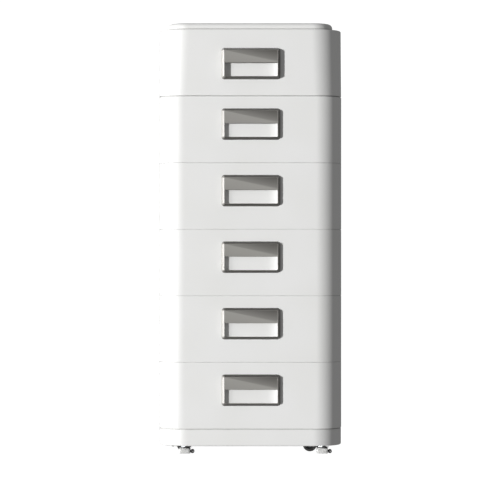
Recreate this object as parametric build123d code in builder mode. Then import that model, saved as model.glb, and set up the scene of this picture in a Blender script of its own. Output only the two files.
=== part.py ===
"""Floor-standing stacked battery tower.

Five identical battery modules and a control module stand on a plinth with casters and levelling
feet. Millimetres, +Z up, the front faces -Y, and the origin is on the floor under the middle.
"""
from build123d import *
import os
from math import sqrt

os.makedirs("parts", exist_ok=True)

# Tower
TOWER_WIDTH = 540
TOWER_DEPTH = 380
CORNER_RADIUS = 77
WALL = 4
SEAT_INSET = 8              # the raised seat that a module stands on, in from its outline
BATTERY_COUNT = 5
MODULE_PITCH = 195.2
SEAM_GAP = 0.5              # shadow gap between two battery modules
WIDE_SEAM_GAP = 3           # shadow gap over the plinth and under the control module
SEAM_FILLET = 1.2
LID_THICKNESS = 3
LID_LEDGE = 6               # width of the ledge that carries a lid
LID_CLEARANCE = 0.2

# Plinth, chassis, casters and levelling feet
PLINTH_UNDERSIDE = 26
PLINTH_HEIGHT = 51
PLINTH_WIDTH = 539
PLINTH_DEPTH = 377.6
PLINTH_CORNER = 86
PLINTH_TOP = 6
PLINTH_WALL = 5.4
PLINTH_EDGE_FILLET = 4.4
CHASSIS_THICKNESS = 4
STACK_FLOOR = PLINTH_UNDERSIDE + PLINTH_HEIGHT
CHASSIS_TOP = STACK_FLOOR - WIDE_SEAM_GAP + SEAM_GAP - PLINTH_TOP
CHASSIS_BOTTOM = CHASSIS_TOP - CHASSIS_THICKNESS
CHASSIS_INSET = 15          # in from the plinth's outline
DOCK_GAP = 2                # between the chassis and the dock that passes through it
SHAFT_CLEARANCE = 0.05
WHEEL_RADIUS = 21
WHEEL_WIDTH = 17
WHEEL_LIFT = 1              # the feet hold the wheels this far off the floor
TREAD_FILLET = 3
WHEEL_RIM = 6
WHEEL_HUB_RADIUS = 7
WHEEL_DISH = 2              # depth of the dish in each side of a wheel
CASTER_TRAIL = 10
AXLE_RADIUS = 3
BEARING_GAP = 0.3
FORK_DISC = (14, 5)         # radius and thickness
FORK_CROWN = (26, 4)
CHEEK_RADIUS = 7
CHEEK_THICKNESS = 2.5
CHEEK_CLEARANCE = 1
WHEEL_HEADROOM = 2
STEM_RADIUS = 5
CASTER_PLACES = {"front_left": (-188, -62), "front_right": (188, -62),
                 "rear_right": (188, 62), "rear_left": (-188, 62)}
FOOT_RADIUS = 17
FOOT_HEIGHT = 15
FOOT_EDGE_FILLET = 1
COLLAR_LOW_RADIUS = 15.5    # the dark collar on a foot flares from this radius to the next
COLLAR_TOP_RADIUS = 20.5
COLLAR_HEIGHT = 4
FOOT_NUT_WIDTH = 22         # across the flats
FOOT_NUT_HEIGHT = 6
FOOT_STEM_TOP = 67
BOSS_RADIUS = 10            # threaded boss under the chassis for a foot's stem
BOSS_LENGTH = 20
KNOB_RADIUS = 6
KNOB_HALF_LENGTH = 7
KNOB_LIFT = 0.3
KNOB_REACH = 23             # from the stem's axis to the adjusting knob's
KNOB_ARM = (5, 6)           # width and height of the arm that carries it
KNOB_ARM_HEIGHT = 3
FOOT_PLACES = {"front_left": (-194, -120, 0), "front_right": (213, -120, 0),
               "rear_right": (194, 120, 180), "rear_left": (-213, 120, 180)}

# Grips: a moulded surround that stands on the case wall, hooded above and open below
GRIP_WIDTH = 173
GRIP_HEIGHT = 92.4
GRIP_CORNER = 9
GRIP_OFFSET = 2.2             # the grip's centre, to the viewer's right of the module's
GRIP_STANDOFF = 12.5
CROWN_WIDTH = 158.6
CROWN_HEIGHT = 80
CROWN_CORNER = 4
CROWN_SHIFT = 0.55
CROWN_LIFT = 0.5
CROWN_RIM = 1.7
HOOD_EDGE = 1.6             # height of the hood's lower edge above the grip's middle
HOOD_THICKNESS = 2.5
FINGER_WIDTH = 140
FINGER_TOP = 34.6
POCKET_DEPTH = 19
POCKET_WALL = 3
POCKET_CORNER = 6
BATTERY_GRIP_HEIGHT = 113.6 # grip centre above the module's seat
CONTROL_GRIP_HEIGHT = 96.2
RAMP_RADIUS = 40            # curved ends of the case wall inside a grip's window
RAMP_LENGTH = 19
WINDOW_FOOT = CROWN_LIFT - CROWN_HEIGHT / 2 + CROWN_RIM

# Cells and electrical parts of a battery module
CELL_THICKNESS = 49.2
CELL_WIDTH = 159
CELL_HEIGHT = 118.5
CELL_CORNER = 3
CELL_PITCH_X = 50
CELL_PITCH_Y = 161
CELLS_IN_ROW = 8
CELL_FLOOR = 10
RAIL_PLACES = (-140, -40, 40, 140)
RAIL_WIDTH = 8
TERMINAL_RADIUS = 6
TERMINAL_HEIGHT = 3
TERMINAL_REACH = 60
BUSBAR_SIZE = (68, 20, 2.5)
BOARD_THICKNESS = 1.6
BMS_PLACE = (0, 95)
BMS_SIZE = (300, 80)
BMS_DROP = 16               # board below the module's top
BMS_POST_INSET = 8
BMS_POST_RADIUS = 4
HEAT_SINK_X = -60
FIN_PITCH = 8
FIN_COUNT = 12
FIN_SIZE = (3, 56, 14)
RELAY_X = 70
RELAY_PITCH = (30, 34)
RELAY_SIZE = (22, 26, 16)

# Blind-mating dock connector between modules
SOCKET_SIZE = (96, 36, 20)
SOCKET_CORNER = 4
SOCKET_MOUTH = (80, 20, 14)
SOCKET_MOUTH_CORNER = 3
PLUG_SIZE = (78, 18, 12)
PLUG_CORNER = 2.5
PLUG_FLANGE = (90, 30, 3)
PLUG_FLANGE_CORNER = 4

# Control module
CONTROL_FLOOR = STACK_FLOOR + BATTERY_COUNT * MODULE_PITCH
CONTROL_HEIGHT = 198
CONTROL_DEPTH = 372
CONTROL_WIDTH_LOW = 540
CONTROL_WIDTH_TOP = 538
CONTROL_CORNER_LOW = 83
CONTROL_CORNER_TOP = 91
CONTROL_EDGE_FILLET = 3.5
CONTROL_TOP = CONTROL_FLOOR + CONTROL_HEIGHT
CAVITY_WIDTH = 528
CAVITY_DEPTH = 362
CAVITY_CORNER = 88
CAP_WIDTH = 488
CAP_DEPTH = 320
CAP_CORNER = 62
CAP_HEIGHT = 20.5
CAP_NECK = 2
CAP_NECK_INSET = 6
CAP_TOP_FILLET = 13
CAP_FOOT_FILLET = 4.5
CAP_OPENING = (440, 270, 40)

# Connection bay in the control module's right side; bay places are (y, z) from its centre
BAY_HEIGHT = CONTROL_FLOOR + 105
BAY_SIZE = (160, 110, 8)
BAY_FLOOR_X = 256
BAY_DEPTH = 18              # length of the cut that opens the bay through the wall
BAY_CLEARANCE = 0.4
BREAKER_PLACE = (-35, 0)
BREAKER_BODY = (54, 54, 84)
BREAKER_NOSE = (8, 54, 46)
LEVER_SLOT = (30, 28)
LEVER_PIVOT_X = 255
LEVER_HUB_RADIUS = 5
LEVER_PIN_RADIUS = 2
LEVER_LENGTH = 12
LEVER_THICKNESS = 5
LEVER_CLEARANCE = 0.5
LEVER_PIN_LENGTH = 3
LEVER_REST_ANGLE = 30
TERMINAL_PLACES = ((14, 22), (44, 22))
TERMINAL_BASE = (26, 26, 3)
TERMINAL_TAIL = 10          # length of a terminal's collar behind the bay floor
STUD_RADIUS = 4
STUD_COLLAR_RADIUS = 6
STUD_END_X = 267
BUTTON_PLACE = (68, 22)
BUTTON_RADIUS = 8
BUTTON_END_X = 261
BUTTON_EDGE_FILLET = 1
BUTTON_FLANGE = 3
PORT_PLACES = ((14, -28), (40, -28), (66, -28))
PORT_RADIUS = 8
PORT_EDGE_FILLET = 1.5
PORT_END_X = 264
CONTROL_BOARD_X = 238
CONTROL_BOARD_PLACE = (40, 0)
CONTROL_BOARD_SIZE = (76, 96)
CHIP_PITCH = (24, 22)
CHIP_SIZE = (14, 12, 5)
CONTACTOR_PLACES = ((-110, 90), (-20, 90))
CONTACTOR_SIZE = (66, 50, 62)
CONTACTOR_CORNER = 6
CONTACTOR_POST_SPACING = 34
CONTACTOR_POST_RADIUS = 8
CONTACTOR_POST_HEIGHT = 10
BRACKET_HOLE_RADIUS = 2.5
BRACKET_HOLE_SPACING = 300
BRACKET_HOLE_HEIGHT = 150


def save(piece, name):
    """Label a finished piece and write it to its own STEP file."""
    piece.part.label = name
    export_step(piece.part, f"parts/{name}.step")


def grip_planes(depth, height):
    """Upright planes on the front and rear walls, at the grips' centres, facing outwards."""
    front = Plane(origin=(GRIP_OFFSET, -depth / 2, height), x_dir=(1, 0, 0), z_dir=(0, -1, 0))
    rear = Plane(origin=(-GRIP_OFFSET, depth / 2, height), x_dir=(-1, 0, 0), z_dir=(0, 1, 0))
    return front, rear


def finger_room(depth, height, inset):
    """Blocks on both walls behind the hoods: the finger pocket for an inset of 0, its housing
    behind the wall for an inset of POCKET_WALL."""
    pocket_height = FINGER_TOP - HOOD_EDGE
    with BuildPart() as room:
        for face in grip_planes(depth, height):
            with BuildSketch(face.offset(-POCKET_DEPTH - inset)):
                with Locations((0, (FINGER_TOP + HOOD_EDGE) / 2)):
                    RectangleRounded(FINGER_WIDTH + 2 * inset, pocket_height + 2 * inset,
                                     POCKET_CORNER + inset)
            extrude(amount=POCKET_DEPTH)
    return room.part


def window_ramps(depth, height):
    """The case wall's curved ends inside the grips' windows: an arc that rises to the side."""
    ramp_end = CROWN_WIDTH / 2 - CROWN_RIM
    ramp_start = ramp_end - RAMP_LENGTH
    ramp_rise = RAMP_RADIUS - sqrt(RAMP_RADIUS**2 - RAMP_LENGTH**2)
    foot = height + WINDOW_FOOT
    front = Plane(origin=(GRIP_OFFSET + CROWN_SHIFT, -depth / 2, foot), x_dir=(1, 0, 0),
                  z_dir=(0, 0, 1))
    rear = Plane(origin=(-GRIP_OFFSET - CROWN_SHIFT, depth / 2, foot), x_dir=(-1, 0, 0),
                 z_dir=(0, 0, 1))
    with BuildPart() as ramps:
        for level in (front, rear):
            with BuildSketch(level):
                with BuildLine():
                    TangentArc((ramp_start, 0), (ramp_end, -ramp_rise), tangent=(1, 0))
                    Line((ramp_end, -ramp_rise), (ramp_end, 1))
                    Line((ramp_end, 1), (ramp_start, 1))
                    Line((ramp_start, 1), (ramp_start, 0))
                make_face()
                mirror(about=Plane.YZ)
            extrude(amount=HOOD_EDGE - WINDOW_FOOT)
    return ramps.part


def make_grips(name, depth, height, standoff):
    """A module's two grips: sloped surround, hood over the upper half, window in the lower."""
    with BuildPart() as grips:
        for face in grip_planes(depth, height):
            with BuildSketch(face):
                RectangleRounded(GRIP_WIDTH, GRIP_HEIGHT, GRIP_CORNER)
            with BuildSketch(face.offset(standoff)):
                with Locations((CROWN_SHIFT, CROWN_LIFT)):
                    RectangleRounded(CROWN_WIDTH, CROWN_HEIGHT, CROWN_CORNER)
            loft()
            with BuildSketch(face):
                with Locations((0, (HOOD_EDGE + FINGER_TOP) / 2)):
                    Rectangle(FINGER_WIDTH, FINGER_TOP - HOOD_EDGE)
            extrude(amount=standoff - HOOD_THICKNESS, mode=Mode.SUBTRACT)
            with BuildSketch(face):
                with Locations((CROWN_SHIFT, (HOOD_EDGE + WINDOW_FOOT) / 2)):
                    Rectangle(CROWN_WIDTH - 2 * CROWN_RIM, HOOD_EDGE - WINDOW_FOOT)
            extrude(amount=standoff, mode=Mode.SUBTRACT)
    save(grips, name)


def make_battery_case(name, floor):
    """Open-topped tub: rounded outline, seat below, ledge for the lid, rails for the cells."""
    ledge_z = floor + MODULE_PITCH - LID_THICKNESS
    grip_height = floor + BATTERY_GRIP_HEIGHT
    housings = finger_room(TOWER_DEPTH, grip_height, POCKET_WALL)
    pockets = finger_room(TOWER_DEPTH, grip_height, 0)
    ramps = window_ramps(TOWER_DEPTH, grip_height)
    with BuildPart() as case:
        with BuildSketch(Plane.XY.offset(floor + SEAM_GAP)):
            RectangleRounded(TOWER_WIDTH, TOWER_DEPTH, CORNER_RADIUS)
        extrude(amount=MODULE_PITCH - SEAM_GAP)
        rims = case.edges().group_by(Axis.Z)
        fillet(rims[0] + rims[-1], radius=SEAM_FILLET)
        with BuildSketch(Plane.XY.offset(floor)):
            RectangleRounded(TOWER_WIDTH - 2 * SEAT_INSET, TOWER_DEPTH - 2 * SEAT_INSET,
                             CORNER_RADIUS - SEAT_INSET)
        extrude(amount=SEAM_GAP)
        with BuildSketch(Plane.XY.offset(floor + WALL)):
            RectangleRounded(TOWER_WIDTH - 2 * WALL, TOWER_DEPTH - 2 * WALL, CORNER_RADIUS - WALL)
        extrude(amount=MODULE_PITCH - WALL - LID_THICKNESS - LID_LEDGE, mode=Mode.SUBTRACT)
        inset = WALL + LID_LEDGE
        with BuildSketch(Plane.XY.offset(ledge_z - LID_LEDGE)):
            RectangleRounded(TOWER_WIDTH - 2 * inset, TOWER_DEPTH - 2 * inset,
                             CORNER_RADIUS - inset)
        extrude(amount=LID_LEDGE, mode=Mode.SUBTRACT)
        with BuildSketch(Plane.XY.offset(ledge_z)):
            RectangleRounded(TOWER_WIDTH - 2 * WALL, TOWER_DEPTH - 2 * WALL, CORNER_RADIUS - WALL)
        extrude(amount=LID_THICKNESS, mode=Mode.SUBTRACT)
        with BuildSketch(Plane.XY.offset(floor + WALL)):
            with Locations([(0, place) for place in RAIL_PLACES]):
                Rectangle(CELLS_IN_ROW * CELL_PITCH_X, RAIL_WIDTH)
        extrude(amount=CELL_FLOOR - WALL)
        add(housings)
        add(pockets, mode=Mode.SUBTRACT)
        add(ramps)
        with BuildSketch(Plane.XY.offset(floor)):
            Rectangle(PLUG_SIZE[0] + 2 * LID_CLEARANCE, PLUG_SIZE[1] + 2 * LID_CLEARANCE)
        extrude(amount=WALL, mode=Mode.SUBTRACT)
    save(case, name)


def make_battery_lid(name, floor):
    """Flat lid that lies on the case's ledge, flush with its rim, with the dock's opening."""
    inset = WALL + LID_CLEARANCE
    with BuildPart() as lid:
        with BuildSketch(Plane.XY.offset(floor + MODULE_PITCH - LID_THICKNESS)):
            RectangleRounded(TOWER_WIDTH - 2 * inset, TOWER_DEPTH - 2 * inset,
                             CORNER_RADIUS - inset)
            Rectangle(SOCKET_SIZE[0] + 2 * LID_CLEARANCE, SOCKET_SIZE[1] + 2 * LID_CLEARANCE,
                      mode=Mode.SUBTRACT)
        extrude(amount=LID_THICKNESS)
    save(lid, name)


def make_cells(name, floor):
    """Sixteen prismatic cells in two rows, each with its two terminal posts."""
    with BuildPart() as cells:
        with BuildSketch(Plane.XY.offset(floor + CELL_FLOOR)):
            with GridLocations(CELL_PITCH_X, CELL_PITCH_Y, CELLS_IN_ROW, 2):
                Rectangle(CELL_THICKNESS, CELL_WIDTH)
        extrude(amount=CELL_HEIGHT)
        fillet(cells.edges().filter_by(Axis.Z), radius=CELL_CORNER)
        with BuildSketch(Plane.XY.offset(floor + CELL_FLOOR + CELL_HEIGHT)):
            with GridLocations(CELL_PITCH_X, CELL_PITCH_Y, CELLS_IN_ROW, 2):
                with Locations((0, -TERMINAL_REACH), (0, TERMINAL_REACH)):
                    Circle(TERMINAL_RADIUS)
        extrude(amount=TERMINAL_HEIGHT)
    save(cells, name)


def make_busbars(name, floor):
    """Links that join the cells in series: side by side in a row, and once across the rows."""
    links = CELLS_IN_ROW - 1
    first_x = -(links - 1) / 2 * CELL_PITCH_X
    places = []
    for row in (-1, 1):
        for link in range(links):
            side = row if link % 2 == 0 else -row
            places.append((first_x + link * CELL_PITCH_X,
                           row * CELL_PITCH_Y / 2 + side * TERMINAL_REACH))
    end_x = (CELLS_IN_ROW - 1) / 2 * CELL_PITCH_X
    cross_length = CELL_PITCH_Y - 2 * TERMINAL_REACH + BUSBAR_SIZE[1]
    with BuildPart() as busbars:
        with BuildSketch(Plane.XY.offset(floor + CELL_FLOOR + CELL_HEIGHT + TERMINAL_HEIGHT)):
            with Locations(places):
                Rectangle(BUSBAR_SIZE[0], BUSBAR_SIZE[1])
            with Locations((end_x, 0)):
                Rectangle(BUSBAR_SIZE[1], cross_length)
        extrude(amount=BUSBAR_SIZE[2])
    save(busbars, name)


def make_bms_board(name, floor):
    """Battery management board on four standoffs under the lid, with its heat sink and relays."""
    board_z = floor + MODULE_PITCH - BMS_DROP
    drop_to_lid = BMS_DROP - LID_THICKNESS - BOARD_THICKNESS
    with BuildPart() as board:
        with BuildSketch(Plane.XY.offset(board_z)):
            with Locations(BMS_PLACE):
                Rectangle(*BMS_SIZE)
        extrude(amount=BOARD_THICKNESS)
        with BuildSketch(Plane.XY.offset(board_z + BOARD_THICKNESS)):
            with Locations(BMS_PLACE):
                with GridLocations(BMS_SIZE[0] - 2 * BMS_POST_INSET,
                                   BMS_SIZE[1] - 2 * BMS_POST_INSET, 2, 2):
                    Circle(BMS_POST_RADIUS)
        extrude(amount=drop_to_lid)
        with BuildSketch(Plane.XY.offset(board_z)):
            with Locations((BMS_PLACE[0] + HEAT_SINK_X, BMS_PLACE[1])):
                with GridLocations(FIN_PITCH, 1, FIN_COUNT, 1):
                    Rectangle(FIN_SIZE[0], FIN_SIZE[1])
        extrude(amount=-FIN_SIZE[2])
        with BuildSketch(Plane.XY.offset(board_z)):
            with Locations((BMS_PLACE[0] + RELAY_X, BMS_PLACE[1])):
                with GridLocations(*RELAY_PITCH, 3, 2):
                    Rectangle(RELAY_SIZE[0], RELAY_SIZE[1])
        extrude(amount=-RELAY_SIZE[2])
    save(board, name)


def dock_socket(top):
    """A dock socket: a block with an open mouth, flush at the given top."""
    with BuildPart() as socket:
        with BuildSketch(Plane.XY.offset(top)):
            RectangleRounded(SOCKET_SIZE[0], SOCKET_SIZE[1], SOCKET_CORNER)
        extrude(amount=-SOCKET_SIZE[2])
        with BuildSketch(Plane.XY.offset(top)):
            RectangleRounded(SOCKET_MOUTH[0], SOCKET_MOUTH[1], SOCKET_MOUTH_CORNER)
        extrude(amount=-SOCKET_MOUTH[2], mode=Mode.SUBTRACT)
    return socket.part


def dock_plug(floor, floor_top):
    """A dock plug: a nose below the module's seat at floor, and a flange on its floor_top."""
    with BuildPart() as plug:
        with BuildSketch(Plane.XY.offset(floor - PLUG_SIZE[2])):
            RectangleRounded(PLUG_SIZE[0], PLUG_SIZE[1], PLUG_CORNER)
        extrude(amount=PLUG_SIZE[2] + floor_top - floor)
        with BuildSketch(Plane.XY.offset(floor_top)):
            RectangleRounded(PLUG_FLANGE[0], PLUG_FLANGE[1], PLUG_FLANGE_CORNER)
        extrude(amount=PLUG_FLANGE[2])
    return plug.part


def make_battery_dock(name, floor):
    """A battery module's two dock connectors: the plug below and the socket on top."""
    plug = dock_plug(floor, floor + WALL)
    socket = dock_socket(floor + MODULE_PITCH)
    with BuildPart() as dock:
        add(plug)
        add(socket)
    save(dock, name)


def make_plinth():
    """Base shell: open below, with the raised seat that the first battery module stands on."""
    rim = STACK_FLOOR - WIDE_SEAM_GAP + SEAM_GAP
    with BuildPart() as plinth:
        with BuildSketch(Plane.XY.offset(PLINTH_UNDERSIDE)):
            RectangleRounded(PLINTH_WIDTH, PLINTH_DEPTH, PLINTH_CORNER)
        extrude(amount=rim - PLINTH_UNDERSIDE)
        fillet(plinth.edges().group_by(Axis.Z)[-1], radius=SEAM_FILLET)
        fillet(plinth.edges().group_by(Axis.Z)[0], radius=PLINTH_EDGE_FILLET)
        with BuildSketch(Plane.XY.offset(rim)):
            RectangleRounded(TOWER_WIDTH - 2 * SEAT_INSET, TOWER_DEPTH - 2 * SEAT_INSET,
                             CORNER_RADIUS - SEAT_INSET)
        extrude(amount=STACK_FLOOR - rim)
        with BuildSketch(Plane.XY.offset(PLINTH_UNDERSIDE)):
            RectangleRounded(PLINTH_WIDTH - 2 * PLINTH_WALL, PLINTH_DEPTH - 2 * PLINTH_WALL,
                             PLINTH_CORNER - PLINTH_WALL)
        extrude(amount=CHASSIS_TOP - PLINTH_UNDERSIDE, mode=Mode.SUBTRACT)
        with BuildSketch(Plane.XY.offset(CHASSIS_TOP)):
            Rectangle(SOCKET_SIZE[0] + 2 * LID_CLEARANCE, SOCKET_SIZE[1] + 2 * LID_CLEARANCE)
        extrude(amount=STACK_FLOOR - CHASSIS_TOP, mode=Mode.SUBTRACT)
    save(plinth, "plinth")


def make_chassis():
    """Steel plate under the plinth's top, with caster bearings and threaded foot bosses."""
    with BuildPart() as chassis:
        with BuildSketch(Plane.XY.offset(CHASSIS_BOTTOM)):
            RectangleRounded(PLINTH_WIDTH - 2 * CHASSIS_INSET, PLINTH_DEPTH - 2 * CHASSIS_INSET,
                             PLINTH_CORNER - CHASSIS_INSET)
            Rectangle(SOCKET_SIZE[0] + 2 * DOCK_GAP, SOCKET_SIZE[1] + 2 * DOCK_GAP,
                      mode=Mode.SUBTRACT)
            with Locations(*CASTER_PLACES.values()):
                Circle(STEM_RADIUS + SHAFT_CLEARANCE, mode=Mode.SUBTRACT)
        extrude(amount=CHASSIS_THICKNESS)
        with BuildSketch(Plane.XY.offset(CHASSIS_BOTTOM)):
            with Locations([(x, y) for x, y, turn in FOOT_PLACES.values()]):
                Circle(BOSS_RADIUS)
        extrude(amount=-BOSS_LENGTH)
        with BuildSketch(Plane.XY.offset(CHASSIS_TOP)):
            with Locations([(x, y) for x, y, turn in FOOT_PLACES.values()]):
                Circle(STEM_RADIUS + SHAFT_CLEARANCE)
        extrude(amount=-CHASSIS_THICKNESS - BOSS_LENGTH, mode=Mode.SUBTRACT)
    save(chassis, "chassis")


def make_caster_fork(corner, place):
    """Swivel fork: stem, bearing disc, two cheeks and the axle, trailing behind the stem."""
    x, y = place
    axle_z = WHEEL_LIFT + WHEEL_RADIUS
    gap = WHEEL_WIDTH / 2 + CHEEK_CLEARANCE
    disc_radius, disc_thickness = FORK_DISC
    disc_top = CHASSIS_BOTTOM - BEARING_GAP
    crown_middle = disc_top - disc_thickness - FORK_CROWN[1] / 2
    with BuildPart() as fork:
        with BuildSketch(Plane.XY.offset(disc_top)):
            with Locations((x, y)):
                Circle(STEM_RADIUS)
        extrude(amount=CHASSIS_TOP - BEARING_GAP - disc_top)
        with BuildSketch(Plane.XY.offset(disc_top)):
            with Locations((x, y)):
                Circle(disc_radius)
        extrude(amount=-disc_thickness)
        upright = Plane(origin=(x, y, 0), x_dir=(1, 0, 0), z_dir=(0, -1, 0))
        with BuildSketch(upright):
            with Locations((-CASTER_TRAIL, axle_z)):
                Circle(CHEEK_RADIUS)
            with Locations((0, crown_middle)):
                Rectangle(*FORK_CROWN)
            make_hull()
        extrude(amount=gap + CHEEK_THICKNESS, both=True)
        wheel_room = axle_z + WHEEL_RADIUS + WHEEL_HEADROOM
        with BuildSketch(upright):
            with Locations((0, wheel_room / 2)):
                Rectangle(4 * WHEEL_RADIUS, wheel_room)
        extrude(amount=gap, both=True, mode=Mode.SUBTRACT)
        with BuildSketch(upright):
            with Locations((-CASTER_TRAIL, axle_z)):
                Circle(AXLE_RADIUS)
        extrude(amount=gap + CHEEK_THICKNESS, both=True)
    save(fork, f"caster_fork_{corner}")


def make_caster_wheel(corner, place):
    """Wheel with rounded tread edges, shallow side dishes and a running bore."""
    x, y = place
    axle_z = WHEEL_LIFT + WHEEL_RADIUS
    upright = Plane(origin=(x - CASTER_TRAIL, y, axle_z), x_dir=(1, 0, 0), z_dir=(0, -1, 0))
    with BuildPart() as wheel:
        with BuildSketch(upright):
            Circle(WHEEL_RADIUS)
        extrude(amount=WHEEL_WIDTH / 2, both=True)
        fillet(wheel.edges().filter_by(GeomType.CIRCLE), radius=TREAD_FILLET)
        for side in (-1, 1):
            with BuildSketch(upright.offset(side * WHEEL_WIDTH / 2)):
                Circle(WHEEL_RADIUS - WHEEL_RIM)
                Circle(WHEEL_HUB_RADIUS, mode=Mode.SUBTRACT)
            extrude(amount=-side * WHEEL_DISH, mode=Mode.SUBTRACT)
        with BuildSketch(upright):
            Circle(AXLE_RADIUS + SHAFT_CLEARANCE)
        extrude(amount=WHEEL_WIDTH, both=True, mode=Mode.SUBTRACT)
    save(wheel, f"caster_wheel_{corner}")


def make_foot(corner, place):
    """Levelling foot: round pad, flared collar, hexagonal nut, stem and side adjusting knob."""
    x, y, turn = place
    level = Plane(origin=(x, y, 0)).rotated((0, 0, turn))
    collar_top = FOOT_HEIGHT + COLLAR_HEIGHT
    with BuildPart() as foot:
        with BuildSketch(level):
            Circle(FOOT_RADIUS)
        extrude(amount=FOOT_HEIGHT)
        fillet(foot.edges().group_by(Axis.Z)[-1], radius=FOOT_EDGE_FILLET)
        with BuildSketch(level.offset(FOOT_HEIGHT)):
            Circle(COLLAR_LOW_RADIUS)
        with BuildSketch(level.offset(collar_top)):
            Circle(COLLAR_TOP_RADIUS)
        loft()
        with BuildSketch(level.offset(collar_top)):
            RegularPolygon(FOOT_NUT_WIDTH / 2, 6, major_radius=False)
        extrude(amount=FOOT_NUT_HEIGHT)
        with BuildSketch(level.offset(collar_top)):
            Circle(STEM_RADIUS)
        extrude(amount=FOOT_STEM_TOP - collar_top)
        with BuildSketch(level.offset(KNOB_ARM_HEIGHT)):
            with Locations((KNOB_REACH / 2, 0)):
                Rectangle(KNOB_REACH, KNOB_ARM[0])
        extrude(amount=KNOB_ARM[1])
        knob_plane = Plane(origin=level.origin, x_dir=level.x_dir, z_dir=-level.y_dir)
        with BuildSketch(knob_plane):
            with Locations((KNOB_REACH, KNOB_RADIUS + KNOB_LIFT)):
                Circle(KNOB_RADIUS)
        extrude(amount=KNOB_HALF_LENGTH, both=True)
    save(foot, f"levelling_foot_{corner}")


def bay_plane(x):
    """Upright plane in the connection bay at the given x: local x along +Y, local y up."""
    return Plane(origin=(x, 0, BAY_HEIGHT), x_dir=(0, 1, 0), z_dir=(1, 0, 0))


def make_control_case():
    """Control housing: slightly tapered shell with rounded top edge and the connection bay."""
    low = CONTROL_FLOOR + WIDE_SEAM_GAP
    grip_height = CONTROL_FLOOR + CONTROL_GRIP_HEIGHT
    housings = finger_room(CONTROL_DEPTH, grip_height, POCKET_WALL)
    pockets = finger_room(CONTROL_DEPTH, grip_height, 0)
    ramps = window_ramps(CONTROL_DEPTH, grip_height)
    with BuildPart() as case:
        with BuildSketch(Plane.XY.offset(low)):
            RectangleRounded(CONTROL_WIDTH_LOW, CONTROL_DEPTH, CONTROL_CORNER_LOW)
        with BuildSketch(Plane.XY.offset(CONTROL_TOP)):
            RectangleRounded(CONTROL_WIDTH_TOP, CONTROL_DEPTH, CONTROL_CORNER_TOP)
        loft()
        fillet(case.edges().group_by(Axis.Z)[-1], radius=CONTROL_EDGE_FILLET)
        fillet(case.edges().group_by(Axis.Z)[0], radius=SEAM_FILLET)
        with BuildSketch(Plane.XY.offset(CONTROL_FLOOR)):
            RectangleRounded(TOWER_WIDTH - 4 * SEAT_INSET, CONTROL_DEPTH - 2 * SEAT_INSET,
                             CONTROL_CORNER_LOW - SEAT_INSET)
        extrude(amount=WIDE_SEAM_GAP)
        with BuildSketch(Plane.XY.offset(CONTROL_FLOOR + WALL + WIDE_SEAM_GAP)):
            RectangleRounded(CAVITY_WIDTH, CAVITY_DEPTH, CAVITY_CORNER)
        extrude(amount=CONTROL_HEIGHT - 2 * WALL - WIDE_SEAM_GAP, mode=Mode.SUBTRACT)
        with BuildSketch(Plane.XY.offset(CONTROL_TOP - WALL)):
            RectangleRounded(*CAP_OPENING)
        extrude(amount=WALL, mode=Mode.SUBTRACT)
        add(housings)
        add(pockets, mode=Mode.SUBTRACT)
        add(ramps)
        with BuildSketch(Plane.XY.offset(CONTROL_FLOOR)):
            Rectangle(PLUG_SIZE[0] + 2 * LID_CLEARANCE, PLUG_SIZE[1] + 2 * LID_CLEARANCE)
        extrude(amount=WALL + WIDE_SEAM_GAP, mode=Mode.SUBTRACT)
        with BuildSketch(bay_plane(BAY_FLOOR_X - WALL)):
            RectangleRounded(BAY_SIZE[0] + 2 * WALL, BAY_SIZE[1] + 2 * WALL, BAY_SIZE[2] + WALL)
        extrude(amount=CAVITY_WIDTH / 2 - BAY_FLOOR_X + WALL)
        with BuildSketch(bay_plane(BAY_FLOOR_X)):
            RectangleRounded(*BAY_SIZE)
        extrude(amount=BAY_DEPTH, mode=Mode.SUBTRACT)
        with BuildSketch(bay_plane(BAY_FLOOR_X)):
            with Locations(BREAKER_PLACE):
                Rectangle(BREAKER_NOSE[1] + BAY_CLEARANCE, BREAKER_NOSE[2] + BAY_CLEARANCE)
            with Locations(BUTTON_PLACE):
                Circle(BUTTON_RADIUS + BAY_CLEARANCE)
            with Locations(*PORT_PLACES):
                Circle(PORT_RADIUS + LID_CLEARANCE)
            with Locations(*TERMINAL_PLACES):
                Circle(STUD_COLLAR_RADIUS + LID_CLEARANCE)
        extrude(amount=-WALL, mode=Mode.SUBTRACT)
        rear = Plane(origin=(0, CONTROL_DEPTH / 2, CONTROL_FLOOR + BRACKET_HOLE_HEIGHT),
                     x_dir=(-1, 0, 0), z_dir=(0, 1, 0))
        with BuildSketch(rear):
            with GridLocations(BRACKET_HOLE_SPACING, 1, 2, 1):
                Circle(BRACKET_HOLE_RADIUS)
        extrude(amount=-2 * WALL, mode=Mode.SUBTRACT)
    save(case, "control_case")


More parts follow.
